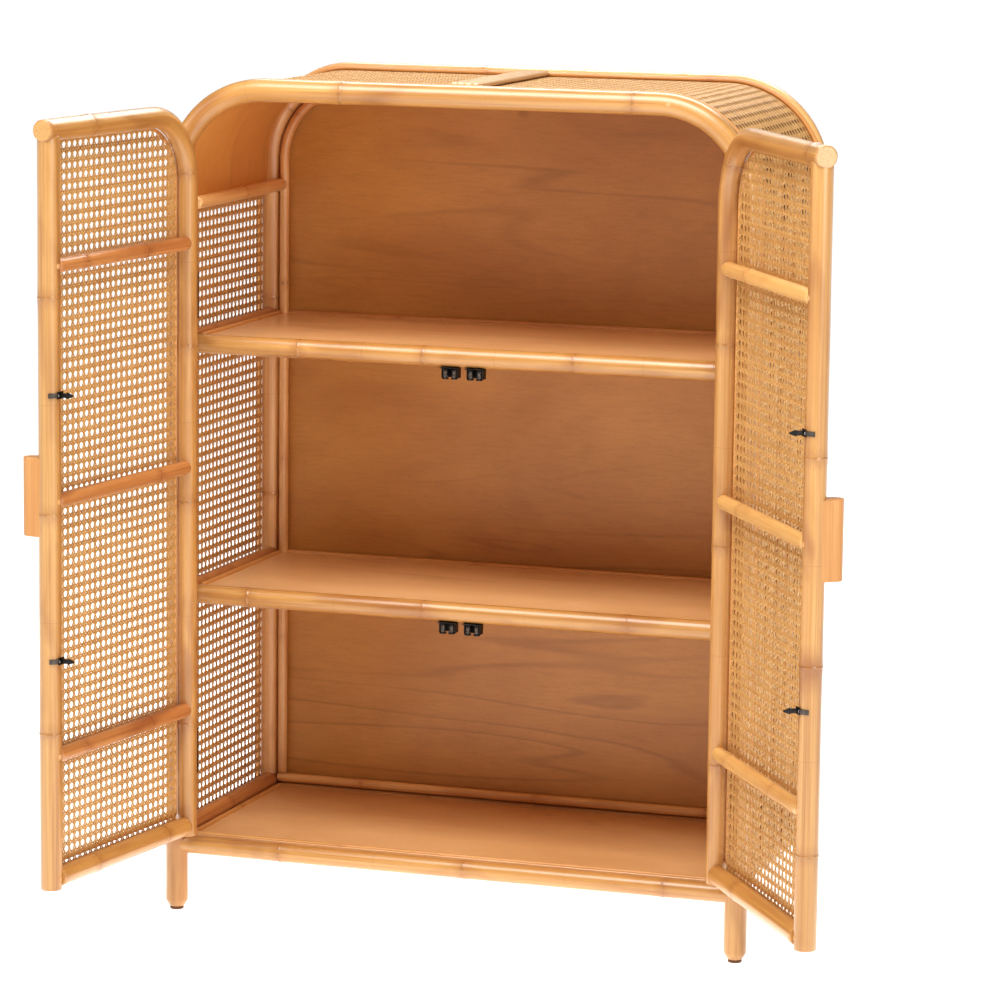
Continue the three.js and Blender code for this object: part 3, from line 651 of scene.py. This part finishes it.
panel_look = plywood("plywood_back", colour(206, 150, 79), colour(180, 122, 58), colour(114, 70, 28),
                     gloss=0.36, coat=0.35, knots=0.85)
board_look = plywood("plywood_board", colour(236, 190, 138), colour(220, 168, 114), colour(168, 110, 64),
                     gloss=0.36, coat=0.5)
liner_look = plywood("plywood_liner", colour(232, 172, 96), colour(212, 146, 76), colour(150, 92, 44),
                     gloss=0.5, coat=0.15)
# Painted shade: the liner's outer face, seen through the cane holes, is a darker copy of the liner that
# stands in for the shadow under the cane.
liner_outer_painted_shade_look = plywood("plywood_liner_outer_painted_shade", colour(120, 78, 42), colour(98, 62, 32),
                           colour(70, 42, 20), gloss=0.6, coat=0.0)
cane_look = cane_material("cane", colour(220, 174, 110), colour(182, 130, 70))
metal_look = fitting("dark_metal", colour(44, 42, 42), colour(92, 88, 84), 0.85, 0.42)
glide_look = fitting("brown_nylon", colour(112, 76, 48), colour(140, 98, 66), 0.0, 0.5)
roller_look = fitting("worn_roller", colour(84, 76, 70), colour(130, 120, 110), 0.6, 0.34)
steel_look = fitting("steel", colour(150, 146, 140), colour(190, 186, 178), 1.0, 0.35)

# ---- where the cabinet stands ----
left_foot, right_foot = middle("glide_front_left"), middle("glide_rear_right")
LEFT_X, RIGHT_X = left_foot.x, right_foot.x
FRONT_Y, REAR_Y = left_foot.y, right_foot.y
MIDDLE_X = (LEFT_X + RIGHT_X) / 2
HALF = (RIGHT_X - LEFT_X) / 2
FRONT_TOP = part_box("front_arch")[1].z - ARCH_R * FACET
REAR_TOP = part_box("rear_arch")[1].z - ARCH_R * FACET
LEG_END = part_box("front_arch")[0].z


def arch_path(half, top, corner, bottom, y, steps=28):
    """Points up one side, over the top and down the other."""
    place = lambda x, z: Vector((MIDDLE_X + x, y, z))
    points = [place(-half, bottom)]
    points += arc((-half + corner, top - corner), corner, math.pi, math.pi / 2, steps, place)
    points += arc((half - corner, top - corner), corner, math.pi / 2, 0, steps, place)
    points.append(place(half, bottom))
    return points


# ---- arches and glides ----
# The rear arch takes the pale trim colour as painted light: a lighter copy that stands in for the light
# falling on it from behind.
for name, y, top, seed, look in (("front_arch", FRONT_Y, FRONT_TOP, 11, pole_look),
                                 ("rear_arch", REAR_Y, REAR_TOP, 12, trim_look)):
    pole(name, "pole", "carcass", look, arch_path(HALF, top, ARCH_CORNER, LEG_END, y), ARCH_R, seed, ALONG_Y,
         ends=("taper", "taper"), sides=36, spacing=(0.24, 0.4), taper=(LEG_TAPER, LEG_END_R / ARCH_R))

# A wooden plug in the front arch, over the nail that holds the liner near the right corner.
made = Build()
lathe(made, [(PLUG_R, 0), (PLUG_R, 0.7 * MM), (PLUG_R * 0.76, 0.95 * MM), (0, 1 * MM)],
      (RIGHT_X - ARCH_PLUG_IN, FRONT_Y - ARCH_R + 0.6 * MM, FRONT_TOP), -ALONG_Y, 18)
made.finish("front_arch_plug", "carcass", [plug_look], slot="rattan_pole")

for corner in ("front_left", "front_right", "rear_left", "rear_right"):
    low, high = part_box(f"glide_{corner}")
    foot = middle(f"glide_{corner}")
    made = Build()
    r = (high.x - low.x) / 2
    lathe(made, [(0, 0), (r - 1.4 * MM, 0), (r - 0.5 * MM, 0.4 * MM), (r, 1.2 * MM), (r, 3.6 * MM),
                 (r - 0.6 * MM, LEG_END), (0, LEG_END + 0.4 * MM)], (foot.x, foot.y, 0), UP, 32)
    made.finish(f"glide_{corner}_turned", "carcass", [glide_look], [f"glide_{corner}"], "nylon")

# ---- rails ----
for name, seed in (("bottom_rail_front", 21), ("bottom_rail_rear", 22)):
    at = middle(name)
    line = [(LEFT_X + BOTTOM_RAIL_BUTT, at.y, at.z), (RIGHT_X - BOTTOM_RAIL_BUTT, at.y, at.z)]
    pole(name, "pole", "carcass", pole_look, line, RAIL_R, seed, ALONG_Y)
for level, seed in (("bottom", 31), ("lower_shelf", 32), ("upper_shelf", 33)):
    for side in ("left", "right"):
        name = f"side_rail_{level}_{side}"
        low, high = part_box(name)
        z = middle(name).z
        x, drawn = (high.x - SIDE_RAIL_R, seed + 20) if side == "right" else (low.x + SIDE_RAIL_R, seed)
        line = [(x, low.y, z), (x, high.y, z)]
        pole(name, "pole", "carcass", rail_look, line, SIDE_RAIL_R, drawn, UP)
for side, seed in (("left", 41), ("right", 42)):
    name = f"top_side_rail_{side}"
    low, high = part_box(name)
    at = middle(name)
    line = [(at.x, low.y, at.z), (at.x, high.y, at.z)]
    pole(name, "pole", "carcass", trim_look, line, TOP_RAIL_R, seed, UP)

# ---- back panel, with its trim poles ----
low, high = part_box("back_trim_arch")
line = arch_path(HALF - TRIM_INSET, REAR_TOP - TRIM_INSET, TRIM_CORNER, low.z, middle("back_trim_arch").y)
pole("back_trim_arch", "pole", "carcass", trim_look, line, TRIM_R, 51, ALONG_Y, sides=20, spacing=(0.2, 0.36))
low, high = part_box("back_trim_bottom")
at = middle("back_trim_bottom")
line = [(low.x, at.y, at.z), (high.x, at.y, at.z)]
pole("back_trim_bottom", "pole", "carcass", trim_look, line, TRIM_R, 52, ALONG_Y, sides=20)

low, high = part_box("back_panel")
panel_path = arch_path(HALF - PANEL_INSET, high.z, ARCH_CORNER - PANEL_INSET, low.z, 0, 20)
panel_outline = [(p.x, p.z) for p in panel_path]
made = Build()
prism(made, panel_outline, low.y, high.y, lambda x, z, y: (x, y, z), 0.4 * MM)
made.finish("back_panel_sheet", "carcass", [panel_look], ["back_panel"], "plywood")

# ---- boards, beads and shelf poles ----
for name, seed in (("bottom_board", 60), ("lower_shelf", 64), ("upper_shelf", 68)):
    node_name = "bottom_board" if name == "bottom_board" else f"{name}_board"
    top = mount(f"{name}_face")["pos_m"][2]
    low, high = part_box(node_name)
    made = Build()
    box(made, (MIDDLE_X - BOARD_HALF, low.y, top - BOARD_THICK), (MIDDLE_X + BOARD_HALF, high.y, top),
        0.8 * MM, shift=seed * 0.37)
    made.finish(f"{node_name}_sheet", "carcass", [board_look], [node_name], "plywood")
    beads = Build()
    start = low.y + (BOTTOM_BEAD_START if name == "bottom_board" else SHELF_BEAD_START)
    for k, side in enumerate((-1, 1)):
        x = MIDDLE_X + side * BEAD_X
        tube(beads, [(x, start, top), (x, high.y, top)], BEAD_R, seed + k, UP, sides=16, spacing=(0.3, 0.5))
    cross_beads = [(high.y - BEAD_R, BEAD_R, 2)]
    if name == "bottom_board":
        cross_beads.append((low.y + BEAD_R, FRONT_BEAD_R, 3))
    for y, radius, k in cross_beads:
        tube(beads, [(MIDDLE_X - BEAD_X, y, top), (MIDDLE_X + BEAD_X, y, top)], radius, seed + k, ALONG_Y,
             sides=16, spacing=(0.3, 0.5))
    beads.finish(f"{node_name}_beads", "carcass", [strip_look], slot="rattan_strip")
for level, seed in (("lower", 71), ("upper", 72)):
    name = f"{level}_shelf_pole"
    low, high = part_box(name)
    at = middle(name)
    line = [(low.x, at.y, at.z), (high.x, at.y, at.z)]
    pole(name, "round", "carcass", pole_look, line, SHELF_POLE_R, seed, ALONG_Y, sides=32)

# ---- bent liner ----
wrap_front, wrap_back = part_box("top_liner")[0].y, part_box("top_liner")[1].y
liner_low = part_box("top_liner")[0].z


def bent_sheet(build, near, far, front, back):
    """A sheet between two outlines of equal length, from front to back."""
    rows = []
    for y in (front, back):
        rows.append([(p.x, y, p.z) for p in near])
        rows.append([(p.x, y, p.z) for p in far])
    front_near, front_far, back_near, back_far = (np.array(row) for row in rows)
    steps = np.concatenate([[0], np.cumsum(np.linalg.norm(np.diff(front_near, axis=0), axis=1))])
    # The outer faces take material 1, the liner's painted-shade copy.
    for a, b, face in ((front_near, back_near, 0), (back_far, front_far, 1), (front_far, front_near, 0),
                       (back_near, back_far, 0)):
        verts = np.concatenate([a, b])
        grain = np.stack([np.concatenate([steps, steps]), verts[:, 1], np.zeros(len(verts))], -1)
        build.add(verts, [grid_faces(2, len(a), False)], grain, None, face)
    for k in (0, -1):
        ends = np.array([front_near[k], front_far[k], back_far[k], back_near[k]])
        build.add(ends, [np.array([[0, 1, 2, 3]])], smooth=False)


made = Build()
near = arch_path(HALF + LINER_OFFSET, FRONT_TOP + LINER_OFFSET, ARCH_CORNER + LINER_OFFSET, liner_low, 0)
offset = LINER_OFFSET + LINER_THICK
far = arch_path(HALF + offset, FRONT_TOP + offset, ARCH_CORNER + offset, liner_low, 0)
bent_sheet(made, near, far, wrap_front, wrap_back)
made.finish("top_liner_sheet", "carcass", [liner_look, liner_outer_painted_shade_look], ["top_liner"], "plywood")

# ---- woven cane ----
PITCH = 13 * MM
PAIR = 1.45 * MM  # half the distance between the strands of a pair
STRAND_WIDTH, STRAND_THICK = 2.3 * MM, 0.45 * MM
DIAGONAL_WIDTH = 1.8 * MM
WEAVE, DIAGONAL_WEAVE = 0.28 * MM, 0.72 * MM


def strand(build, u, v, height, surface, width, rng):
    """One flat strand through (u, v) points at given heights over the surface."""
    if len(u) < 2:
        return
    point, normal = surface(np.asarray(u), np.asarray(v))
    point = point + normal * np.asarray(height)[:, None]
    tangent = np.gradient(point, axis=0)
    tangent /= np.linalg.norm(tangent, axis=1)[:, None]
    side = np.cross(tangent, normal)
    side /= np.linalg.norm(side, axis=1)[:, None]
    corners = []
    for a, b in ((0.5, -0.5), (0.42, 0.5), (-0.42, 0.5), (-0.5, -0.5)):
        corners.append(point + side * (a * width) + normal * (b * STRAND_THICK))
    verts = np.stack(corners, 1)
    count = len(u)
    steps = np.linalg.norm(np.diff(point, axis=0), axis=1)
    run = np.cumsum(np.concatenate([[0], steps])) + rng.uniform(0, 30)
    width_at = np.array([0.5, 0.4, -0.4, -0.5]) * width
    grain = np.stack([np.broadcast_to(run[:, None], (count, 4)), np.broadcast_to(width_at, (count, 4)),
                      np.zeros((count, 4))], -1)
    look = np.tile([1.0, rng.uniform(-1, 1), 0.0], (count * 4, 1))
    quads = grid_faces(count, 4, True)[:, ::-1]
    ends = np.array([[0, 1, 2, 3], [4 * count - 1, 4 * count - 2, 4 * count - 3, 4 * count - 4]])
    build.add(verts, [quads, ends], grain, look, 0, smooth=False)


def runs(inside):
    """Slices of consecutive true values."""
    edges = np.flatnonzero(np.diff(np.concatenate([[0], inside.astype(int), [0]])))
    return [(a, b) for a, b in zip(edges[::2], edges[1::2]) if b - a > 1]


def weave(build, surface, u_range, v_range, inside, seed):
    """Cane webbing: pairs of strands both ways, and single ones on both diagonals."""
    rng = np.random.default_rng(seed)
    (u0, u1), (v0, v1) = u_range, v_range

    def straight(first, last, low, high, make):
        for i in range(math.floor(first / PITCH), math.ceil(last / PITCH) + 1):
            for side in (-1, 1):
                fixed = i * PITCH + side * PAIR
                if not first < fixed < last:
                    continue
                along, height = [low], [0.0]
                for j in range(math.floor(low / PITCH), math.ceil(high / PITCH) + 1):
                    crossings = ((j * PITCH - PAIR, -side), (j * PITCH + PAIR, side), ((j + 0.5) * PITCH, 0))
                    for place, h in crossings:
                        if low < place < high:
                            along.append(place)
                            height.append(h * WEAVE)
                along.append(high)
                height.append(0.0)
                make(np.full(len(along), fixed), np.array(along), np.array(height))

    def upright(fixed, along, height):
        for a, b in runs(inside(fixed, along)):
            strand(build, fixed[a:b], along[a:b], height[a:b], surface, STRAND_WIDTH, rng)

    def level(fixed, along, height):
        for a, b in runs(inside(along, fixed)):
            strand(build, along[a:b], fixed[a:b], -height[a:b], surface, STRAND_WIDTH, rng)

    straight(u0, u1, v0, v1, upright)
    straight(v0, v1, u0, u1, level)
    first, last = math.ceil(2 * u0 / PITCH), math.floor(2 * u1 / PITCH)
    m = np.arange(first, last + 1)
    u = m * PITCH / 2
    sign = np.where(m % 2 == 0, 1.0, -1.0)
    for slope in (-1, 1):
        ends = [v0 - slope * u0, v0 - slope * u1, v1 - slope * u0, v1 - slope * u1]
        for k in range(math.floor(min(ends) / PITCH) - 1, math.ceil(max(ends) / PITCH) + 1):
            v = (k + 0.5) * PITCH + slope * u
            height = -slope * sign * DIAGONAL_WEAVE
            good = (v >= v0) & (v <= v1) & inside(u, v)
            for a, b in runs(good):
                strand(build, u[a:b], v[a:b], height[a:b], surface, DIAGONAL_WIDTH, rng)


cane_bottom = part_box("cane_left")[0].z
straight_part = FRONT_TOP - ARCH_CORNER - cane_bottom
turn_radius = ARCH_CORNER + CANE_MIDDLE
quarter = turn_radius * math.pi / 2


def side_surface(side):
    """Points and normals of the cane, with v from the lower edge up and over to the middle of the top."""

    def surface(u, v):
        angle = np.clip((v - straight_part) / turn_radius, 0, math.pi / 2)
        beyond = np.maximum(v - straight_part - quarter, 0)
        out = np.cos(angle)
        up = np.sin(angle)
        x = HALF - ARCH_CORNER + turn_radius * out - beyond
        z = cane_bottom + np.minimum(v, straight_part) + turn_radius * up
        point = np.stack([MIDDLE_X + side * x, u, z], -1)
        normal = np.stack([side * out, np.zeros_like(out), up], -1)
        return point, normal

    return surface


whole = straight_part + quarter + HALF - ARCH_CORNER
front_to_back = (wrap_front - 1 * MM, wrap_back + 1 * MM)
everywhere = lambda u, v: np.ones(len(u), bool)
for side, sign in (("left", -1), ("right", 1)):
    made = Build()
    weave(made, side_surface(sign), front_to_back, (0, whole), everywhere, 80 + sign)
    made.finish(f"cane_{side}_webbing", "carcass", [cane_look], [f"cane_{side}"], "cane")

# ---- binding strips and the batten over the seam ----
for name, seed in (("edge_strip_front", 91), ("edge_strip_rear", 92)):
    line = arch_path(HALF + STRIP_OFFSET, FRONT_TOP + STRIP_OFFSET, ARCH_CORNER + STRIP_OFFSET,
                     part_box(name)[0].z, middle(name).y)
    pole(name, "half_round", "carcass", strip_look, line, STRIP_R, seed, ALONG_Y, slot="rattan_strip",
         sides=14, spacing=(0.3, 0.5))
low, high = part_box("top_batten")
made = Build()
width = (high.x - low.x) / 4
for k in range(4):
    x = low.x + width * (k + 0.5)
    z = (low.z + high.z) / 2
    tube(made, [(x, low.y, z), (x, high.y, z)], width / 2, 95 + k, ALONG_X, sides=16, spacing=(0.3, 0.5),
         squash=(high.z - low.z) / width)
made.finish("top_batten_strips", "carcass", [trim_look], ["top_batten"], "rattan_strip")

# ---- roller catches ----
CATCH_LIP = 1.5 * MM  # top plate past the case
CATCH_SHEET = 1.6 * MM
WASHER_R = 4.4 * MM


def roller(build, place, tall):
    """A roller with a groove round its middle."""
    r, edge, groove = ROLLER_R, 0.4 * MM, 0.5 * MM
    profile = [(0, 0), (r - edge, 0), (r, edge), (r, tall / 2 - groove), (r - groove, tall / 2),
               (r, tall / 2 + groove), (r, tall - edge), (r - edge, tall), (0, tall)]
    lathe(build, profile, place, UP, 20, 1)


for level in ("lower", "upper"):
    name = f"roller_catches_{level}"
    low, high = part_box(name)
    made = Build()
    for sign in (-1, 1):
        x = MIDDLE_X + sign * CATCH_X
        y = (low.y + high.y) / 2 - 2.5 * MM
        box(made, (x - CATCH_HALF - CATCH_LIP, low.y + 1 * MM, high.z - 1.2 * MM),
            (x + CATCH_HALF + CATCH_LIP, high.y, high.z), 0.3 * MM)
        box(made, (x - CATCH_HALF, high.y - 1.5 * MM, low.z + 1 * MM), (x + CATCH_HALF, high.y, high.z),
            0.3 * MM)
        for arm in (-1, 1):
            pin_x = x + arm * ROLLER_X
            ends = sorted((x + arm * CATCH_HALF, x + arm * (CATCH_HALF - CATCH_SHEET)))
            box(made, (ends[0], low.y + 5 * MM, low.z + 1 * MM), (ends[1], high.y, high.z), 0.4 * MM)
            for z0, z1 in ((low.z, low.z + 1.4 * MM), (high.z - 3.2 * MM, high.z - 1.8 * MM)):
                washer = [(0, 0), (WASHER_R, 0), (WASHER_R, z1 - z0), (0, z1 - z0)]
                lathe(made, washer, (pin_x, y, z0), UP, 20)
            roller(made, (pin_x, y, low.z + 1.5 * MM), high.z - low.z - 4.8 * MM)
            screw(made, (pin_x, y, low.z + 0.1 * MM), -UP, 1.3 * MM, 2)
    made.finish(f"{name}_pair", "carcass", [metal_look, roller_look, steel_look], [name], "dark_metal")

# ---- doors, drawn closed about the hinge axis with +X to the middle and +Y into the cabinet ----
joints = {joint["name"]: joint for joint in frame["joints"]}
hinge_levels = [middle(f"frame_hinge_leaf_left_{level}").z for level in ("lower", "upper")]
door_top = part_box("door_left_bent_pole")[1].z - DOOR_R * FACET
door_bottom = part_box("door_left_bent_pole")[0].z
door_end = MEETING_X + DOOR_R + 0.5 * MM
stile_end = door_top - 6 * MM  # meeting stile, inside the top rail


def door_matrix(side):
    """From a door drawn closed to its place at rest, mirrored for the right door."""
    joint = joints[f"door_{side}_hinge"]
    opening = math.radians(-joint["range_deg"][0])
    x, y = joint["pos_m"][:2]
    place = Matrix.Translation((x, y, 0))
    if side == "left":
        return place @ Matrix.Rotation(-opening, 4, "Z")
    return place @ Matrix.Rotation(opening, 4, "Z") @ Matrix.Diagonal((-1, 1, 1, 1))


def leg_matrix(side):
    """The same for what is fixed to the leg beside the hinge, which doesn't turn."""
    x, y = joints[f"door_{side}_hinge"]["pos_m"][:2]
    mirror = Matrix.Diagonal((1 if side == "left" else -1, 1, 1, 1))
    return Matrix.Translation((x, y, 0)) @ mirror


def door_outline(inset, bottom, end, y):
    """Points up the hinge stile, round the bend and along the top rail."""
    corner = DOOR_CORNER - inset
    left, top = STILE.x + inset, door_top - inset
    place = lambda x, z: Vector((x, y, z))
    points = [place(left, bottom)]
    points += arc((left + corner, top - corner), corner, math.pi, math.pi / 2, 24, place)
    points.append(place(end, top))
    return points


def in_door(edge, bottom):
    """Test for points of the door's cane, which ends under the poles."""
    corner = DOOR_CORNER - edge
    left, right, top = STILE.x + edge, MEETING_X - edge, door_top - edge

    def inside(u, v):
        good = (u > left) & (u < right) & (v > bottom) & (v < top)
        du, dv = left + corner - u, v - (top - corner)
        return good & ~((du > 0) & (dv > 0) & (du ** 2 + dv ** 2 > corner ** 2))

    return inside


def door_surface(u, v):
    point = np.stack([u, np.full_like(u, DOOR_CANE_Y), v], -1)
    normal = np.broadcast_to(np.array([0.0, -1.0, 0.0]), point.shape)
    return point, normal


def leaf(build, sign, z, tabs):
    """A hinge leaf with three screws, at x on one side of the hinge axis, and tabs to its own knuckles."""
    near, far = sorted((sign * LEAF_NEAR, sign * LEAF_FAR))
    start = KNUCKLE_R + 0.4 * MM
    half = HINGE_LENGTH / 2
    box(build, (near, start, z - half), (far, LEAF_DEPTH, z + half), 0.3 * MM)
    for low, high in tabs:
        box(build, (near, 0, z + low), (far, start + 0.6 * MM, z + high), 0.2 * MM)
    for k in (-1, 0, 1):
        y = (13 if k else 15) * MM
        screw(build, (sign * 1.3 * MM, y, z + k * 20 * MM), (-sign, 0, 0), 1.9 * MM, 1)


def knuckle(build, z0, z1):
    r, tall, edge = KNUCKLE_R, z1 - z0, 0.4 * MM
    profile = [(0, 0), (r - edge, 0), (r, edge), (r, tall - edge), (r - edge, tall), (0, tall)]
    lathe(build, profile, (0, 0, z0), UP, 20)


for side in ("left", "right"):
    body = f"door_{side}"
    matrix = door_matrix(side)
    base = 200 if side == "left" else 300

    bent = door_outline(0, door_bottom, door_end, STILE.y)
    straight = [(MEETING_X, STILE.y, door_bottom), (MEETING_X, STILE.y, stile_end)]
    for k, (name, line) in enumerate((("bent_pole", bent), ("meeting_stile", straight))):
        pole(f"{body}_{name}", "round", body, pole_look, line, DOOR_R, base + k, ALONG_Y, matrix, sides=32,
             spacing=(0.2, 0.34))

    plugs = Build(matrix)
    cross_look = rail_look if side == "left" else pale_rail_look
    for name, radius, seed, look in (("bottom_rail", DOOR_RAIL_R, 2, pole_look),
                                     ("cross_rail_lower", CROSS_R, 3, cross_look),
                                     ("cross_rail_middle", CROSS_R, 4, cross_look),
                                     ("cross_rail_upper", CROSS_R, 5, cross_look)):
        z = middle(f"{body}_{name}").z
        line = [(STILE.x + RAIL_TIP, RAIL_IN, z), (MEETING_X - RAIL_BUTT, RAIL_IN, z)]
        pole(f"{body}_{name}", "round", body, look, line, radius, base + seed, UP, matrix,
             ends=("round", "flat"), sides=24, spacing=(0.12, 0.24))
        lathe(plugs, [(PLUG_R, 0), (PLUG_R, 0.7 * MM), (2.6 * MM, 0.95 * MM), (0, 1.0 * MM)],
              (MEETING_X, STILE.y + DOOR_R - 0.6 * MM, z), ALONG_Y, 18)
    plugs.finish(f"{body}_plugs", body, [plug_look], slot="rattan_pole")

    made = Build(matrix)
    z = middle(f"{body}_bottom_rail").z
    edge = DOOR_CANE_EDGE
    weave(made, door_surface, (STILE.x + edge, MEETING_X - edge), (z, door_top - edge), in_door(edge, z),
          base + 6)
    made.finish(f"{body}_cane_webbing", body, [cane_look], [f"{body}_cane"], "cane")

    made = Build(matrix)
    inset = DOOR_R + 0.6 * MM
    y = DOOR_CANE_Y - 2.2 * MM
    low_edge = z + DOOR_RAIL_R + 1.5 * MM
    outer = MEETING_X - inset
    strips = (door_outline(inset, low_edge, outer, y), [(outer, y, low_edge), (outer, y, door_top - inset)],
              [(STILE.x + inset, y, low_edge), (outer, y, low_edge)])
    for k, path in enumerate(strips):
        tube(made, path, DOOR_STRIP_R, base + 7 + k, ALONG_Y, sides=12, spacing=(0.3, 0.5))
    made.finish(f"{body}_cane_strips", body, [strip_look], slot="rattan_strip")

    # Half-round handle on the meeting stile's outer face.
    low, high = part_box(f"{body}_handle")
    made = Build(matrix)
    nose = STILE.y - DOOR_R - HANDLE_REACH + HANDLE_R
    foot = STILE.y - HANDLE_SADDLE
    outline = [(MEETING_X - HANDLE_R, foot), (MEETING_X - HANDLE_R, nose)]
    for a in np.linspace(math.pi, 2 * math.pi, 18)[1:-1]:
        outline.append((MEETING_X + HANDLE_R * math.cos(a), nose + HANDLE_R * math.sin(a)))
    outline += [(MEETING_X + HANDLE_R, nose), (MEETING_X + HANDLE_R, foot)]
    prism(made, outline, low.z, high.z, as_drawn, 1.2 * MM, grain=lambda v: v[:, [2, 0, 1]])
    made.finish(f"{body}_handle_block", body, [strip_look], [f"{body}_handle"], "rattan_pole")

    for level in ("lower", "upper"):
        name = f"{body}_strike_{level}"
        z = middle(name).z
        x, face = STRIKE_X, STILE.y + DOOR_R
        made = Build(matrix)
        box(made, (x - STRIKE_WIDE, face + 0.2 * MM, z - STRIKE_TALL),
            (x + STRIKE_WIDE, face + 1.6 * MM, z + STRIKE_TALL), 0.3 * MM)
        strap = [(DOOR_R + 0.2 * MM, a) for a in np.linspace(1.5, 0.45, 9)]
        strap += [(DOOR_R + 1.3 * MM, a) for a in np.linspace(0.45, 1.5, 9)]
        strap = [(MEETING_X + r * math.cos(a), STILE.y + r * math.sin(a)) for r, a in strap]
        prism(made, strap, z - 3 * MM, z + 3 * MM, as_drawn, 0.2 * MM, 2)
        half_spear = [(1, 2.8), (11, 2.8), (11, 4), (19, 1)]  # mm out from the stile, mm from the middle
        spear = [(face + out * MM, -h * MM) for out, h in half_spear]
        spear += [(face + out * MM, h * MM) for out, h in half_spear[::-1]]
        prism(made, spear, x - 1.5 * MM, x + 1.5 * MM, lambda y, h, x: (x, y, z + h), 0.4 * MM)
        for aside in (STRIKE_SCREW, -STRIKE_SCREW):
            screw(made, (x + aside, face + 1.5 * MM, z), ALONG_Y, 1.7 * MM, 1)
        made.finish(f"{name}_spear", body, [metal_look, steel_look, roller_look], [name], "dark_metal")

    for level, z in zip(("lower", "upper"), hinge_levels):
        half, inner = HINGE_LENGTH / 2, HINGE_LENGTH / 6
        air = 0.3 * MM
        made = Build(matrix)
        leaf(made, 1, z, [(-inner, inner)])
        knuckle(made, z - inner, z + inner)
        made.finish(f"{body}_hinge_leaf_{level}_plate", body, [metal_look, steel_look],
                    [f"{body}_hinge_leaf_{level}"], "dark_metal")
        made = Build(leg_matrix(side))
        leaf(made, -1, z, [(-half, -inner - air), (inner + air, half)])
        knuckle(made, z - half, z - inner - air)
        knuckle(made, z + inner + air, z + half)
        name = f"frame_hinge_leaf_{side}_{level}"
        made.finish(f"{name}_plate", "carcass", [metal_look, steel_look], [name], "dark_metal")

# ---- floor, light and camera ----
floor_material, floor_tree, floor_bsdf = nodes_of("floor")
floor_bsdf.inputs["Base Color"].default_value = (0.9, 0.9, 0.9, 1)
floor_bsdf.inputs["Roughness"].default_value = 0.8
floor_bsdf.inputs["Specular IOR Level"].default_value = 0.2
floor_bsdf.inputs["Emission Color"].default_value = (1, 1, 1, 1)
floor_bsdf.inputs["Emission Strength"].default_value = 0.7
bpy.ops.mesh.primitive_plane_add(size=240, location=(MIDDLE_X, 4, 0))
floor = bpy.context.object
floor.name = "floor"
floor.data.materials.append(floor_material)

world = bpy.data.worlds.new("studio")
bpy.context.scene.world = world
world.use_nodes = True
world.node_tree.nodes["Background"].inputs["Color"].default_value = (1, 1, 1, 1)
world.node_tree.nodes["Background"].inputs["Strength"].default_value = 0.17


def area(name, place, target, size, power):
    data = bpy.data.lights.new(name, "AREA")
    data.shape = "RECTANGLE"
    data.size, data.size_y = size
    data.energy = power
    obj = bpy.data.objects.new(name, data)
    obj.location = place
    obj.rotation_euler = (Vector(target) - Vector(place)).to_track_quat("-Z", "Y").to_euler()
    bpy.context.scene.collection.objects.link(obj)


heart = (MIDDLE_X, 0.1, 0.6)
area("top", (MIDDLE_X - 0.1, -1.35, 3.1), heart, (2.4, 1.5), 86)
area("back", (MIDDLE_X - 0.2, 2.2, 2.9), heart, (2.4, 1.0), 42)
area("left", (MIDDLE_X - 2.9, -1.9, 2.1), heart, (1.0, 1.3), 12)
area("right", (MIDDLE_X + 2.6, -2.0, 1.4), heart, (0.9, 1.2), 24)

camera_data = bpy.data.cameras.new("camera")
camera_data.sensor_width = 36
camera_data.lens = 162.6
camera_data.clip_end = 60
camera = bpy.data.objects.new("camera", camera_data)
yaw, pitch, roll = -0.3242, 0.1574, 0.0115
forward = Vector((math.sin(yaw) * math.cos(pitch), math.cos(yaw) * math.cos(pitch), -math.sin(pitch)))
level_right = Vector((math.cos(yaw), -math.sin(yaw), 0))
level_up = level_right.cross(forward)
right = level_right * math.cos(roll) + level_up * math.sin(roll)
up = level_up * math.cos(roll) - level_right * math.sin(roll)
turn = Matrix((right, up, -forward)).transposed().to_4x4()
camera.matrix_world = Matrix.Translation((MIDDLE_X + 1.8724, -5.3884, 1.4771)) @ turn
bpy.context.scene.collection.objects.link(camera)
bpy.context.scene.camera = camera
bpy.context.scene.view_settings.view_transform = "Standard"
bpy.context.scene.view_settings.look = "Medium High Contrast"
